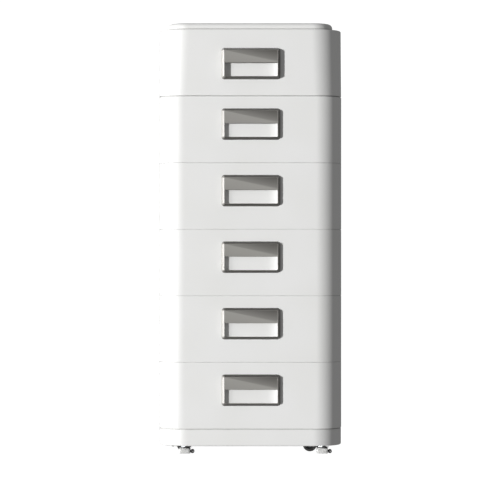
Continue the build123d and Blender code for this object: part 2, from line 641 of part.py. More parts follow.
def make_top_cap():
    """Cover plate on a narrow neck, with a lip that locates it in the housing's opening."""
    with BuildPart() as cap:
        with BuildSketch(Plane.XY.offset(CONTROL_TOP + CAP_NECK)):
            RectangleRounded(CAP_WIDTH, CAP_DEPTH, CAP_CORNER)
        extrude(amount=CAP_HEIGHT - CAP_NECK)
        fillet(cap.edges().group_by(Axis.Z)[-1], radius=CAP_TOP_FILLET)
        fillet(cap.edges().group_by(Axis.Z)[0], radius=CAP_FOOT_FILLET)
        with BuildSketch(Plane.XY.offset(CONTROL_TOP)):
            RectangleRounded(CAP_WIDTH - 2 * CAP_NECK_INSET, CAP_DEPTH - 2 * CAP_NECK_INSET,
                             CAP_CORNER - CAP_NECK_INSET)
        extrude(amount=CAP_NECK)
        width, depth, corner = CAP_OPENING
        with BuildSketch(Plane.XY.offset(CONTROL_TOP - WALL)):
            RectangleRounded(width - 2 * LID_CLEARANCE, depth - 2 * LID_CLEARANCE,
                             corner - LID_CLEARANCE)
        extrude(amount=WALL)
        with BuildSketch(Plane.XY.offset(CONTROL_TOP - WALL)):
            RectangleRounded(width - 2 * WALL, depth - 2 * WALL, corner - WALL)
        extrude(amount=CAP_HEIGHT, mode=Mode.SUBTRACT)
    save(cap, "top_cap")


def make_control_dock():
    """The control module's dock plug."""
    plug = dock_plug(CONTROL_FLOOR, CONTROL_FLOOR + WIDE_SEAM_GAP + WALL)
    with BuildPart() as dock:
        add(plug)
    save(dock, "control_dock")


def make_base_dock():
    """The plinth's dock socket."""
    socket = dock_socket(STACK_FLOOR)
    with BuildPart() as dock:
        add(socket)
    save(dock, "base_dock")


def make_breaker():
    """Main breaker: body behind the bay wall, nose through it, slot and bores for the lever."""
    place_y, place_z = BREAKER_PLACE
    nose_end = BAY_FLOOR_X + BREAKER_NOSE[0] / 2
    with BuildPart() as breaker:
        with BuildSketch(bay_plane(BAY_FLOOR_X - WALL)):
            with Locations(BREAKER_PLACE):
                Rectangle(BREAKER_BODY[1], BREAKER_BODY[2])
        extrude(amount=-BREAKER_BODY[0])
        with BuildSketch(bay_plane(BAY_FLOOR_X - WALL)):
            with Locations(BREAKER_PLACE):
                Rectangle(BREAKER_NOSE[1], BREAKER_NOSE[2])
        extrude(amount=nose_end - BAY_FLOOR_X + WALL)
        with BuildSketch(bay_plane(nose_end)):
            with Locations(BREAKER_PLACE):
                Rectangle(*LEVER_SLOT)
        extrude(amount=LEVER_PIVOT_X - LEVER_HUB_RADIUS - 2 * LEVER_CLEARANCE - nose_end,
                mode=Mode.SUBTRACT)
        pivot = Plane(origin=(LEVER_PIVOT_X, place_y, BAY_HEIGHT + place_z), x_dir=(1, 0, 0),
                      z_dir=(0, -1, 0))
        with BuildSketch(pivot):
            Circle(LEVER_PIN_RADIUS + SHAFT_CLEARANCE)
        extrude(amount=LEVER_SLOT[0] / 2 + LEVER_PIN_LENGTH, both=True, mode=Mode.SUBTRACT)
    save(breaker, "main_breaker")


def make_breaker_lever():
    """Toggle lever: hub with stub pins along Y and a paddle that points up and out when on."""
    place_y, place_z = BREAKER_PLACE
    pivot = Plane(origin=(LEVER_PIVOT_X, place_y, BAY_HEIGHT + place_z), x_dir=(1, 0, 0),
                  z_dir=(0, -1, 0))
    hub_half = LEVER_SLOT[0] / 2 - LEVER_CLEARANCE
    with BuildPart() as lever:
        with BuildSketch(pivot):
            Circle(LEVER_HUB_RADIUS)
            with Locations(Location((0, 0, 0), (0, 0, LEVER_REST_ANGLE))):
                with Locations((LEVER_LENGTH / 2, 0)):
                    Rectangle(LEVER_LENGTH, LEVER_THICKNESS)
        extrude(amount=hub_half, both=True)
        with BuildSketch(pivot):
            Circle(LEVER_PIN_RADIUS)
        extrude(amount=hub_half + LEVER_PIN_LENGTH, both=True)
    save(lever, "breaker_lever")


def make_power_button():
    """Round push button with a retaining flange behind the bay wall."""
    with BuildPart() as button:
        with BuildSketch(bay_plane(BAY_FLOOR_X - WALL)):
            with Locations(BUTTON_PLACE):
                Circle(BUTTON_RADIUS)
        extrude(amount=BUTTON_END_X - BAY_FLOOR_X + WALL)
        fillet(button.edges().group_by(Axis.X)[-1], radius=BUTTON_EDGE_FILLET)
        with BuildSketch(bay_plane(BAY_FLOOR_X - WALL)):
            with Locations(BUTTON_PLACE):
                Circle(BUTTON_RADIUS + BUTTON_FLANGE)
        extrude(amount=-BUTTON_FLANGE)
    save(button, "power_button")


def make_dc_terminals():
    """Two insulated M8 studs for the battery cables, each on a square base in the bay."""
    width, height, thickness = TERMINAL_BASE
    with BuildPart() as terminals:
        with BuildSketch(bay_plane(BAY_FLOOR_X)):
            with Locations(*TERMINAL_PLACES):
                RectangleRounded(width, height, thickness)
        extrude(amount=thickness)
        with BuildSketch(bay_plane(BAY_FLOOR_X)):
            with Locations(*TERMINAL_PLACES):
                Circle(STUD_COLLAR_RADIUS)
        extrude(amount=-TERMINAL_TAIL)
        with BuildSketch(bay_plane(BAY_FLOOR_X + thickness)):
            with Locations(*TERMINAL_PLACES):
                Circle(STUD_RADIUS)
        extrude(amount=STUD_END_X - BAY_FLOOR_X - thickness)
    save(terminals, "dc_terminals")


def make_control_board():
    """Control board on the bay wall's back, with capped round ports that reach into the bay."""
    with BuildPart() as board:
        with BuildSketch(bay_plane(CONTROL_BOARD_X)):
            with Locations(CONTROL_BOARD_PLACE):
                Rectangle(*CONTROL_BOARD_SIZE)
        extrude(amount=-BOARD_THICKNESS)
        with BuildSketch(bay_plane(CONTROL_BOARD_X)):
            with Locations(*PORT_PLACES):
                Circle(PORT_RADIUS)
        extrude(amount=PORT_END_X - CONTROL_BOARD_X)
        fillet(board.edges().group_by(Axis.X)[-1], radius=PORT_EDGE_FILLET)
        with BuildSketch(bay_plane(CONTROL_BOARD_X - BOARD_THICKNESS)):
            with Locations(CONTROL_BOARD_PLACE):
                with GridLocations(*CHIP_PITCH, 3, 3):
                    Rectangle(CHIP_SIZE[0], CHIP_SIZE[1])
        extrude(amount=-CHIP_SIZE[2])
    save(board, "control_board")


def make_contactors():
    """Two sealed contactors on the control module's floor, each with its pair of posts."""
    width, depth, height = CONTACTOR_SIZE
    low = CONTROL_FLOOR + WALL + WIDE_SEAM_GAP
    with BuildPart() as contactors:
        with BuildSketch(Plane.XY.offset(low)):
            with Locations(*CONTACTOR_PLACES):
                RectangleRounded(width, depth, CONTACTOR_CORNER)
        extrude(amount=height)
        with BuildSketch(Plane.XY.offset(low + height)):
            with Locations(*CONTACTOR_PLACES):
                with GridLocations(CONTACTOR_POST_SPACING, 1, 2, 1):
                    Circle(CONTACTOR_POST_RADIUS)
        extrude(amount=CONTACTOR_POST_HEIGHT)
    save(contactors, "contactors")


make_plinth()
make_chassis()
make_base_dock()
for corner, place in CASTER_PLACES.items():
    make_caster_fork(corner, place)
    make_caster_wheel(corner, place)
for corner, place in FOOT_PLACES.items():
    make_foot(corner, place)
for number in range(1, BATTERY_COUNT + 1):
    module_floor = STACK_FLOOR + (number - 1) * MODULE_PITCH
    make_battery_case(f"battery_case_{number}", module_floor)
    make_battery_lid(f"battery_lid_{number}", module_floor)
    make_grips(f"battery_grips_{number}", TOWER_DEPTH, module_floor + BATTERY_GRIP_HEIGHT,
               GRIP_STANDOFF)
    make_cells(f"cells_{number}", module_floor)
    make_busbars(f"busbars_{number}", module_floor)
    make_bms_board(f"bms_board_{number}", module_floor)
    make_battery_dock(f"battery_dock_{number}", module_floor)
make_control_case()
make_top_cap()
make_grips("control_grips", CONTROL_DEPTH, CONTROL_FLOOR + CONTROL_GRIP_HEIGHT,
           GRIP_STANDOFF + (TOWER_DEPTH - CONTROL_DEPTH) / 2)
make_control_dock()
make_breaker()
make_breaker_lever()
make_power_button()
make_dc_terminals()
make_control_board()
make_contactors()
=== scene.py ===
"""Stacked battery tower: mouldings, finishes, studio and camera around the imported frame."""
import math

import bpy
import numpy as np
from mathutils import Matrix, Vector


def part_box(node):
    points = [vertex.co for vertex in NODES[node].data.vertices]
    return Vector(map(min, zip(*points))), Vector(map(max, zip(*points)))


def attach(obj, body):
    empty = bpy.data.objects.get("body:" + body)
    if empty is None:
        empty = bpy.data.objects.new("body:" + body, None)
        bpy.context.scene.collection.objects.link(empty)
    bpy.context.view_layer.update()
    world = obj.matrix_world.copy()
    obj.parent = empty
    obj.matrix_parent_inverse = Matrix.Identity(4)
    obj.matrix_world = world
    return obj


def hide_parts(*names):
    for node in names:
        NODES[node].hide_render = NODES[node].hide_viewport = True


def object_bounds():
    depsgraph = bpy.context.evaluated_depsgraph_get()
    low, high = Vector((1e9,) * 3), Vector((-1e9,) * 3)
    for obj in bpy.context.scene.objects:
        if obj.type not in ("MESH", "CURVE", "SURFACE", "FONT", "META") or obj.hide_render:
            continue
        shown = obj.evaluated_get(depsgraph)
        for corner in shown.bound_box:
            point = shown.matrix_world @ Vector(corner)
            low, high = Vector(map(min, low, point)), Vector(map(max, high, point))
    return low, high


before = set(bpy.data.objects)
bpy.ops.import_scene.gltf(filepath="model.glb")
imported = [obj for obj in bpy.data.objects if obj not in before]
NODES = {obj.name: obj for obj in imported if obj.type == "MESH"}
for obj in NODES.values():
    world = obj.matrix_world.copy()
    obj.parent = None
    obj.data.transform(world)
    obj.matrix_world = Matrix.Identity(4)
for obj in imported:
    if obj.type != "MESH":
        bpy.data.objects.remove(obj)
CAD_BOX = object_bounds()

bl_info = {
    "name": "Stacked Battery Tower",
    "version": (1, 0, 0),
    "blender": (4, 5, 0),
    "location": "View3D > Sidebar > Battery Tower",
    "description": "Builds the tower's shells, grips, feet, casters and studio around its CAD frame",
    "category": "Object",
}

MM = 0.001
BATTERY_NUMBERS = sorted(int(name.rsplit("_", 1)[1]) for name in NODES if name.startswith("cells_"))
CORNERS = ("front_left", "front_right", "rear_right", "rear_left")
WALL = 4 * MM               # thickness of the white shells
HOUSING = 3 * MM            # thickness of the housing round a finger pocket
CLEAR = 0.2 * MM            # width of the steps at a pocket's edge
SLACK = 1e-6                # keeps points that lie on an edge inside it
FLOOR_REACH = 100 * MM      # how far a floor runs in before it meets its hole
CONTROL_REACH = 90 * MM     # the same under the control shell
TOP_REACH = 49 * MM         # the same in the control shell's top
CAP_LIP = 24.5 * MM         # how far the cap's locating lip stands in
PLUG_LEDGE = 5 * MM         # how much smaller a floor's hole is than the dock plug over it
BAY_HALF_WIDTH, BAY_HALF_HEIGHT = 80 * MM, 55 * MM
BAY_BURIED = 10 * MM        # how far the cable studs reach in behind the bay's floor
SHADE_RING_WIDTH, SHADE_RING_DEPTH = 2.8 * MM, 3 * MM   # of a shade ring's section, and from a seat to its face: the rings are painted shade in the wide seams
SHADE_RING_HIDDEN = 0.5 * MM      # how far a shade ring reaches in behind a shell's edge
CAP_SHADE_RING_INSET, CAP_SHADE_RING_SHARE = 0.4 * MM, 0.85     # the share is of the cap's foot fillet
STEM_RADIUS, THREAD_DEPTH, THREAD_PITCH = 5 * MM, 0.6 * MM, 1.5 * MM    # of a foot's screw
KNOB_POINTS = 40            # points round a knob, four to each of its flutes
CAP_POINTS = 60             # points round a port cap, three to each of its ridges
PAINTED_SHADE_TONE, PLAIN_TONE, PAINTED_HIGHLIGHT_TONE = 0.4, 0.8, 1.0    # grips' lacquer tones: painted shade, the plain colour, painted highlight
CREASE_SHADE_TONE, HOOD_BACK_SHADE_TONE = 0.61, 0.6     # painted shade above the hood's crease, and painted shade behind the hood
LOW_SHADE_FADE, HIGH_SHADE_FADE = 0.09, 0.42            # how much painted shade darkens each half of the hood's front over its height
SLOPE_RINGS = 5             # rings of a grip's surround up to its rim's outer edge
STOP_ROOM = 0.98            # share of a wall's flat part that its points may take up
FRONT, RIGHT, REAR, LEFT = range(4)


# ---------------------------------------------------------------- colours and shader nodes

def linear(code):
    """An sRGB hex colour as linear RGBA: the standard curve, undone channel by channel."""
    channels = [int(code[i:i + 2], 16) / 255 for i in (1, 3, 5)]
    return (*[c / 12.92 if c <= 0.04045 else ((c + 0.055) / 1.055) ** 2.4 for c in channels], 1)


def add_node(tree, kind, links=None, inputs=None, **settings):
    """Adds one shader node with its settings, its inputs' values and its incoming links."""
    made = tree.nodes.new(kind)
    for key, value in settings.items():
        setattr(made, key, value)
    for key, value in (inputs or {}).items():
        made.inputs[key].default_value = value
    for key, socket in (links or {}).items():
        tree.links.new(socket, made.inputs[key])
    return made


def start_material(name, colour, roughness, metallic=0.0, **shader_inputs):
    """A new material with its Principled shader set; returns (material, tree, shader)."""
    material = bpy.data.materials.new(name)
    material.use_nodes = True
    tree = material.node_tree
    shader = tree.nodes["Principled BSDF"]
    shader.inputs["Base Color"].default_value = linear(colour)
    shader.inputs["Roughness"].default_value = roughness
    shader.inputs["Metallic"].default_value = metallic
    for key, value in shader_inputs.items():
        shader.inputs[key.replace("_", " ")].default_value = value
    return material, tree, shader


def grain(tree, size_mm, detail=2.0, stretch=(1, 1, 1)):
    """Noise on Object coordinates whose grains are about size_mm across."""
    place = add_node(tree, "ShaderNodeTexCoord")
    mapping = add_node(tree, "ShaderNodeMapping", {"Vector": place.outputs["Object"]},
                       {"Scale": stretch})
    return add_node(tree, "ShaderNodeTexNoise", {"Vector": mapping.outputs["Vector"]},
                    {"Scale": 1 / (size_mm * MM), "Detail": detail, "Roughness": 0.55})


def vary_colour(tree, shader, factor, dark, light, low=0.3, high=0.7):
    """Base colour that runs from dark to light as the factor goes from low to high."""
    ramp = add_node(tree, "ShaderNodeValToRGB", {"Fac": factor})
    ramp.color_ramp.elements[0].position = low
    ramp.color_ramp.elements[0].color = linear(dark)
    ramp.color_ramp.elements[1].position = high
    ramp.color_ramp.elements[1].color = linear(light)
    tree.links.new(ramp.outputs["Color"], shader.inputs["Base Color"])
    return ramp


def vary_roughness(tree, shader, factor, low, high):
    """Roughness that runs from low to high with the factor."""
    spread = add_node(tree, "ShaderNodeMapRange", {"Value": factor},
                      {"From Min": 0.3, "From Max": 0.7, "To Min": low, "To Max": high})
    tree.links.new(spread.outputs["Result"], shader.inputs["Roughness"])


def add_bump(tree, shader, height, depth_mm, strength=1.0):
    """Surface relief: the height pattern, depth_mm deep."""
    bump = add_node(tree, "ShaderNodeBump", {"Height": height},
                    {"Strength": strength, "Distance": depth_mm * MM})
    tree.links.new(bump.outputs["Normal"], shader.inputs["Normal"])


def powder_coat_white(looks):
    """White polyester powder coat on formed sheet: even, satin, with a faint orange peel that
    breaks up the highlights, and a barely warmer tone in broad patches."""
    material, tree, shader = start_material("white_satin_powder_coat", looks.shell_colour, 0.42,
                                            IOR=1.5)
    peel = grain(tree, 3.0)
    patches = grain(tree, 160.0, 1.0)
    vary_colour(tree, shader, patches.outputs["Fac"], looks.shell_shade, looks.shell_colour)
    vary_roughness(tree, shader, peel.outputs["Fac"], 0.38, 0.5)
    add_bump(tree, shader, peel.outputs["Fac"], 0.02)
    return material


def satin_grey_paint(looks):
    """Warm grey metallic lacquer on moulded ABS: soft sparkle. Its colour runs from painted shade to
    painted highlight by the painted-shading attribute that the grips' points carry."""
    material, tree, shader = start_material("satin_warm_grey_lacquer", looks.grip_colour, 0.36,
                                            metallic=0.35, IOR=1.5, Coat_Weight=0.25,
                                            Coat_Roughness=0.2)
    # painted light and shade: the attribute darkens the lacquer where the grips stand in shade and
    # lightens it up their lit slope
    painted_shading = add_node(tree, "ShaderNodeAttribute", attribute_name="painted_shading")
    flake = grain(tree, 0.5)
    mixed = add_node(tree, "ShaderNodeMath", {0: flake.outputs["Fac"], 2: painted_shading.outputs["Fac"]},
                     {1: 0.06}, operation="MULTIPLY_ADD")
    # the ramp runs from the darkest painted shade through painted shade and the plain colour to the
    # painted highlight
    ramp = vary_colour(tree, shader, mixed.outputs["Value"], looks.grip_painted_dark_shade, looks.grip_painted_highlight, 0.03, 1)
    for tone, colour in ((PAINTED_SHADE_TONE, looks.grip_painted_shade), (PLAIN_TONE, looks.grip_colour)):
        ramp.color_ramp.elements.new(tone + 0.03).color = linear(colour)
    vary_roughness(tree, shader, flake.outputs["Fac"], 0.3, 0.42)
    add_bump(tree, shader, flake.outputs["Fac"], 0.008)
    return material


def moulded_black(looks):
    """Black glass-filled nylon as moulded: fine spark-eroded texture, dull sheen."""
    material, tree, shader = start_material("moulded_black_nylon", looks.black_colour, 0.5,
                                            IOR=1.53)
    texture = grain(tree, 0.8)
    vary_colour(tree, shader, texture.outputs["Fac"], "#141415", looks.black_colour)
    vary_roughness(tree, shader, texture.outputs["Fac"], 0.42, 0.6)
    add_bump(tree, shader, texture.outputs["Fac"], 0.05)
    return material


def wheel_rubber(looks):
    """Black polyurethane tread, cast: matt, with scuffs round the rolling face."""
    material, tree, shader = start_material("cast_black_tread", "#2B2B2C", 0.7, IOR=1.52)
    scuffs = grain(tree, 4.0, 4.0, (1, 0.3, 1))
    vary_colour(tree, shader, scuffs.outputs["Fac"], "#1E1E1F", "#3C3B39")
    vary_roughness(tree, shader, scuffs.outputs["Fac"], 0.6, 0.85)
    add_bump(tree, shader, scuffs.outputs["Fac"], 0.08)
    return material


def foot_nylon(looks):
    """Light grey nylon foot pad, moulded: waxy, a little translucent at thin edges."""
    material, tree, shader = start_material("light_grey_nylon", looks.foot_colour, 0.48, IOR=1.53,
                                            Subsurface_Weight=0.7, Subsurface_Scale=20 * MM,
                                            Subsurface_Radius=(1, 1, 1))
    bloom = grain(tree, 6.0, 3.0)
    vary_colour(tree, shader, bloom.outputs["Fac"], "#D8D8D6", looks.foot_colour)
    add_bump(tree, shader, bloom.outputs["Fac"], 0.05)
    return material


def zinc_plate(looks):
    """Zinc-plated pressed steel: pale grey spangle and rolling direction along X."""
    material, tree, shader = start_material("zinc_plated_steel", "#9FA1A3", 0.38, metallic=1.0)
    spangle = grain(tree, 12.0, 3.0)
    rolled = grain(tree, 0.8, 2.0, (0.05, 1, 1))
    vary_colour(tree, shader, spangle.outputs["Fac"], "#85888B", "#B2B4B6")
    vary_roughness(tree, shader, rolled.outputs["Fac"], 0.3, 0.48)
    add_bump(tree, shader, rolled.outputs["Fac"], 0.01)
    return material


def lid_paint(looks):
    """Light grey wrinkle paint on the lids, which only shows when a module is lifted."""
    material, tree, shader = start_material("light_grey_wrinkle_paint", "#B9BABA", 0.6, IOR=1.5)
    wrinkle = grain(tree, 1.6, 3.0)
    vary_colour(tree, shader, wrinkle.outputs["Fac"], "#AFB0B0", "#C0C1C1")
    add_bump(tree, shader, wrinkle.outputs["Fac"], 0.12)
    return material


def cell_film(looks):
    """Blue PET film shrunk round an aluminium can: glossy with faint tension creases."""
    material, tree, shader = start_material("blue_film_on_aluminium_can", "#2F5C9E", 0.3,
                                            IOR=1.57, Coat_Weight=0.4, Coat_Roughness=0.15)
    crease = grain(tree, 14.0, 2.0, (1, 1, 0.2))
    vary_colour(tree, shader, crease.outputs["Fac"], "#27528F", "#3567AC")
    add_bump(tree, shader, crease.outputs["Fac"], 0.15)
    return material


def bare_copper(looks):
    """Stamped copper strip: rolled sheen and light tarnish."""
    material, tree, shader = start_material("stamped_copper", "#C88C6A", 0.32, metallic=1.0)
    tarnish = grain(tree, 9.0, 4.0)
    vary_colour(tree, shader, tarnish.outputs["Fac"], "#A8684A", "#D39A78")
    vary_roughness(tree, shader, tarnish.outputs["Fac"], 0.25, 0.45)
    return material


def solder_mask(looks):
    """Green solder mask on glass-fibre board: thin gloss over a fine weave."""
    material, tree, shader = start_material("green_solder_mask", "#1D5B3A", 0.35, IOR=1.5,
                                            Coat_Weight=0.3, Coat_Roughness=0.2)
    place = add_node(tree, "ShaderNodeTexCoord")
    weave = add_node(tree, "ShaderNodeTexWave", {"Vector": place.outputs["Object"]},
                     {"Scale": 1 / (2.5 * MM) / (2 * math.pi), "Distortion": 0.4},
                     bands_direction="DIAGONAL")
    vary_colour(tree, shader, weave.outputs["Fac"], "#174B30", "#226643", 0.2, 0.8)
    add_bump(tree, shader, weave.outputs["Fac"], 0.02)
    return material


def seam_shade_grey(looks):
    """Painted shade in the wide seams: a grey ring, matt, with a fine grain, that darkens each seam as its
    shadow would.
    """
    material, tree, shader = start_material("grey_seam_shade", looks.seam_shade_colour, 0.7,
                                            IOR=1.43)
    texture = grain(tree, 1.2)
    vary_colour(tree, shader, texture.outputs["Fac"], looks.seam_shade_grain, looks.seam_shade_colour)
    add_bump(tree, shader, texture.outputs["Fac"], 0.03)
    return material


def breaker_plastic(looks):
    """Light grey thermoset breaker housing: moulded matt with slight mottling."""
    material, tree, shader = start_material("light_grey_thermoset", "#D3D3D0", 0.5, IOR=1.55)
    mottle = grain(tree, 2.5, 3.0)
    vary_colour(tree, shader, mottle.outputs["Fac"], "#C6C6C2", "#DADAD7")
    add_bump(tree, shader, mottle.outputs["Fac"], 0.03)
    return material


def polished_steel(looks):
    """Turned and polished stainless steel: ring-like tool marks, bright reflections."""
    material, tree, shader = start_material("polished_stainless_steel", "#C9C9C7", 0.18,
                                            metallic=1.0)
    marks = grain(tree, 0.9, 2.0, (0.1, 1, 1))
    vary_colour(tree, shader, marks.outputs["Fac"], "#B9B9B7", "#D2D2D0")
    vary_roughness(tree, shader, marks.outputs["Fac"], 0.14, 0.26)
    return material


def nickelled_brass(looks):
    """Nickelled brass stud: warm grey metal with faint wear to the brass."""
    material, tree, shader = start_material("nickelled_brass", "#C2B48C", 0.28, metallic=1.0)
    wear = grain(tree, 3.0, 4.0)
    vary_colour(tree, shader, wear.outputs["Fac"], "#B79B5B", "#C6C0AE")
    vary_roughness(tree, shader, wear.outputs["Fac"], 0.2, 0.4)
    return material


# ---------------------------------------------------------------- surfaces

def grid_faces(rows, columns, wrap):
    """Quads between neighbouring rows and columns of a grid, counted along each row; with wrap
    the last column joins the first."""
    row = np.arange(rows - 1)[:, None]
    column = np.arange(columns if wrap else columns - 1)[None, :]
    following = (column + 1) % columns
    corners = [row * columns + column, row * columns + following,
               (row + 1) * columns + following, (row + 1) * columns + column]
    return np.stack([np.broadcast_to(c, corners[1].shape) for c in corners], -1).reshape(-1, 4)


def new_piece(name, points, faces, material, sharp_degrees):
    """A mesh object at the origin from points and faces, smooth but for its sharp edges."""
    mesh = bpy.data.meshes.new(name)
    mesh.from_pydata(points.reshape(-1, 3), [], [list(face) for face in faces])
    mesh.validate()
    mesh.shade_smooth()
    mesh.set_sharp_from_angle(angle=math.radians(sharp_degrees))
    mesh.materials.append(material)
    piece = bpy.data.objects.new(name, mesh)
    bpy.context.scene.collection.objects.link(piece)
    return piece


def closed_rings(rings):
    """Faces of a skin over a stack of rings: quads between them and a flat cap at each end."""
    count, size = rings.shape[:2]
    faces = grid_faces(count, size, True).tolist()
    faces.append(list(range(size))[::-1])
    faces.append(list(range((count - 1) * size, count * size)))
    return faces


def looped_rings(rings):
    """Faces of a skin over rings whose last one joins the first, as round a tube bent shut."""
    count, size = rings.shape[:2]
    ring = np.arange(count)[:, None]
    column = np.arange(size)[None, :]
    after, following = (ring + 1) % count, (column + 1) % size
    corners = [ring * size + column, ring * size + following,
               after * size + following, after * size + column]
    return np.stack([np.broadcast_to(c, (count, size)) for c in corners], -1).reshape(-1, 4)


def outline(half_x, half_y, radius, stops, arc_steps=18):
    """A rounded rectangle, anticlockwise from above: each wall is points at its stops, followed
    by a quarter circle. Returns the points, the wall each one is on (-1 on an arc) and its
    distance along that wall to the viewer's right. Stops that a short wall has no room for are
    drawn together."""
    turn = np.linspace(0, math.pi / 2, arc_steps + 1)
    points, walls, along = [], [], []
    for wall in (FRONT, RIGHT, REAR, LEFT):
        angle = wall * math.pi / 2
        side = np.array([math.cos(angle), math.sin(angle)])
        out = np.array([math.sin(angle), -math.cos(angle)])
        length, reach = (half_x, half_y) if wall in (FRONT, REAR) else (half_y, half_x)
        flat = np.asarray(stops.get(wall, []), float)
        if len(flat):
            flat = flat * min(1, STOP_ROOM * (length - radius) / np.abs(flat).max())
        points.append(flat[:, None] * side + reach * out)
        centre = (length - radius) * side + (reach - radius) * out
        points.append(centre + radius * (np.cos(turn)[:, None] * out + np.sin(turn)[:, None] * side))
        walls += [np.full(len(flat), wall), np.full(len(turn), -1)]
        along += [flat, np.zeros(len(turn))]
    return np.concatenate(points), np.concatenate(walls), np.concatenate(along)


def fillet_rows(inset, height, radius, start, end, steps=5):
    """(inset, height) rows on an arc of that radius about (inset, height), from the start to the
    end angle in degrees, where 0 points outwards and 90 up."""
    angles = np.radians(np.linspace(start, end, steps + 1))
    return [(inset - radius * math.cos(a), height + radius * math.sin(a)) for a in angles]


class Pocket:
    """The finger pocket and the window ramps of one pair of grips, as a height field."""

    def __init__(self, sizes, height):
        self.sizes = sizes
        self.height = height
        reach, ramp = sizes.finger_width / 2, sizes.window_width / 2
        ramp_stops = [ramp - sizes.ramp_length * (1 - t) for t in np.linspace(0, 1, 7)]
        shifted = [sizes.crown_shift + side * stop for side in (-1, 1)
                   for stop in [*ramp_stops, ramp + CLEAR]]
        edges = [side * (reach + extra) for side in (-1, 1)
                 for extra in (0, CLEAR, HOUSING, HOUSING + CLEAR)]
        self.stops = sizes.grip_offset + np.array(sorted([*shifted, *edges, -30 * MM, 0, 30 * MM]))
        low = sizes.crown_lift - sizes.window_height / 2
        edge, top = sizes.hood_edge, sizes.finger_top
        self.levels = height + np.array([low - CLEAR, low, low / 2, edge - HOUSING - CLEAR,
                                         edge - HOUSING, edge - CLEAR, edge + CLEAR, (edge + top) / 2,
                                         top, top + CLEAR, top + HOUSING, top + HOUSING + CLEAR])

    def outside(self, along, level):
        """How far the wall stands out: minus the pocket's depth behind the hood, and an arc's
        rise towards the ends of the window."""
        s = self.sizes
        u, v = along - s.grip_offset, level - self.height
        pocket = np.abs(u) <= s.finger_width / 2 + SLACK
        pocket &= (v > s.hood_edge) & (v <= s.finger_top + SLACK)
        distance = np.abs(u - s.crown_shift) - (s.window_width / 2 - s.ramp_length)
        ramp = (distance > 0) & (distance <= s.ramp_length + SLACK) & (v < s.hood_edge)
        ramp &= v >= s.crown_lift - s.window_height / 2 - SLACK
        rise = s.ramp_radius - np.sqrt(np.maximum(s.ramp_radius**2 - distance**2, 0))
        return np.where(pocket, -s.pocket_depth, np.where(ramp, rise, 0))

    def inside(self, along, level):
        """How far the wall's inner face stands out: minus the housing's depth round the pocket."""
        s = self.sizes
        u, v = along - s.grip_offset, level - self.height
        housing = np.abs(u) <= s.finger_width / 2 + HOUSING + SLACK
        housing &= v >= s.hood_edge - HOUSING - SLACK
        housing &= v <= s.finger_top + HOUSING + SLACK
        return np.where(housing, WALL - HOUSING - s.pocket_depth, 0)


def shell_points(rows, size_at, stops, outside, inside):
    """Rings of a shell. Each row is (inset, height, side): the outline there, drawn in by the
    inset, with its walls pushed out by the outside or inside height field. A side of 0 is
    left as it is. size_at gives the outline's half sizes and radius at a height."""
    rings = []
    for inset, level, side in rows:
        half_x, half_y, radius = size_at(level)
        flat, walls, along = outline(half_x - inset, half_y - inset, max(radius - inset, 1 * MM), stops)
        if side:
            push = (outside if side > 0 else inside)(walls, along, np.full(len(along), level),
                                                      half_x)
            angle = np.maximum(walls, 0) * math.pi / 2
            flat = flat + push[:, None] * np.stack([np.sin(angle), -np.cos(angle)], -1)
        rings.append(np.column_stack([flat, np.full(len(flat), level)]))
    return np.array(rings)


def lay_along(points, axis):
    """Points made about an upright axis through the origin, laid so that it runs along the
    axis given."""
    order = {"X": (2, 0, 1), "Y": (1, 2, 0), "Z": (0, 1, 2)}[axis]
    return points[..., order]


def revolve(profile, centre, steps=48, axis="Z", flutes=1):
    """Rings of a profile of (radius, height) rows turned about an axis through the centre. The
    flutes are factors on the radius at each point of a ring."""
    angle = np.linspace(0, 2 * math.pi, steps, endpoint=False)
    radius, height = np.asarray(profile, float).T
    ring = np.stack([np.cos(angle), np.sin(angle)], -1)
    flat = radius[:, None, None] * ring[None] * np.asarray(flutes)[..., None]
    points = np.concatenate([flat, np.broadcast_to(height[:, None, None], (len(radius), steps, 1))], -1)
    return lay_along(points, axis) + np.asarray(centre)


# ---------------------------------------------------------------- settings

def length_property(name, description, millimetres):
    """A length setting whose default is given in millimetres."""
    return bpy.props.FloatProperty(name=name, description=description, default=millimetres * MM,
                                   unit="LENGTH", precision=4)


def colour_property(name, description, code):
    """A colour setting held as an sRGB hex code."""
    return bpy.props.StringProperty(name=name, description=description, default=code)


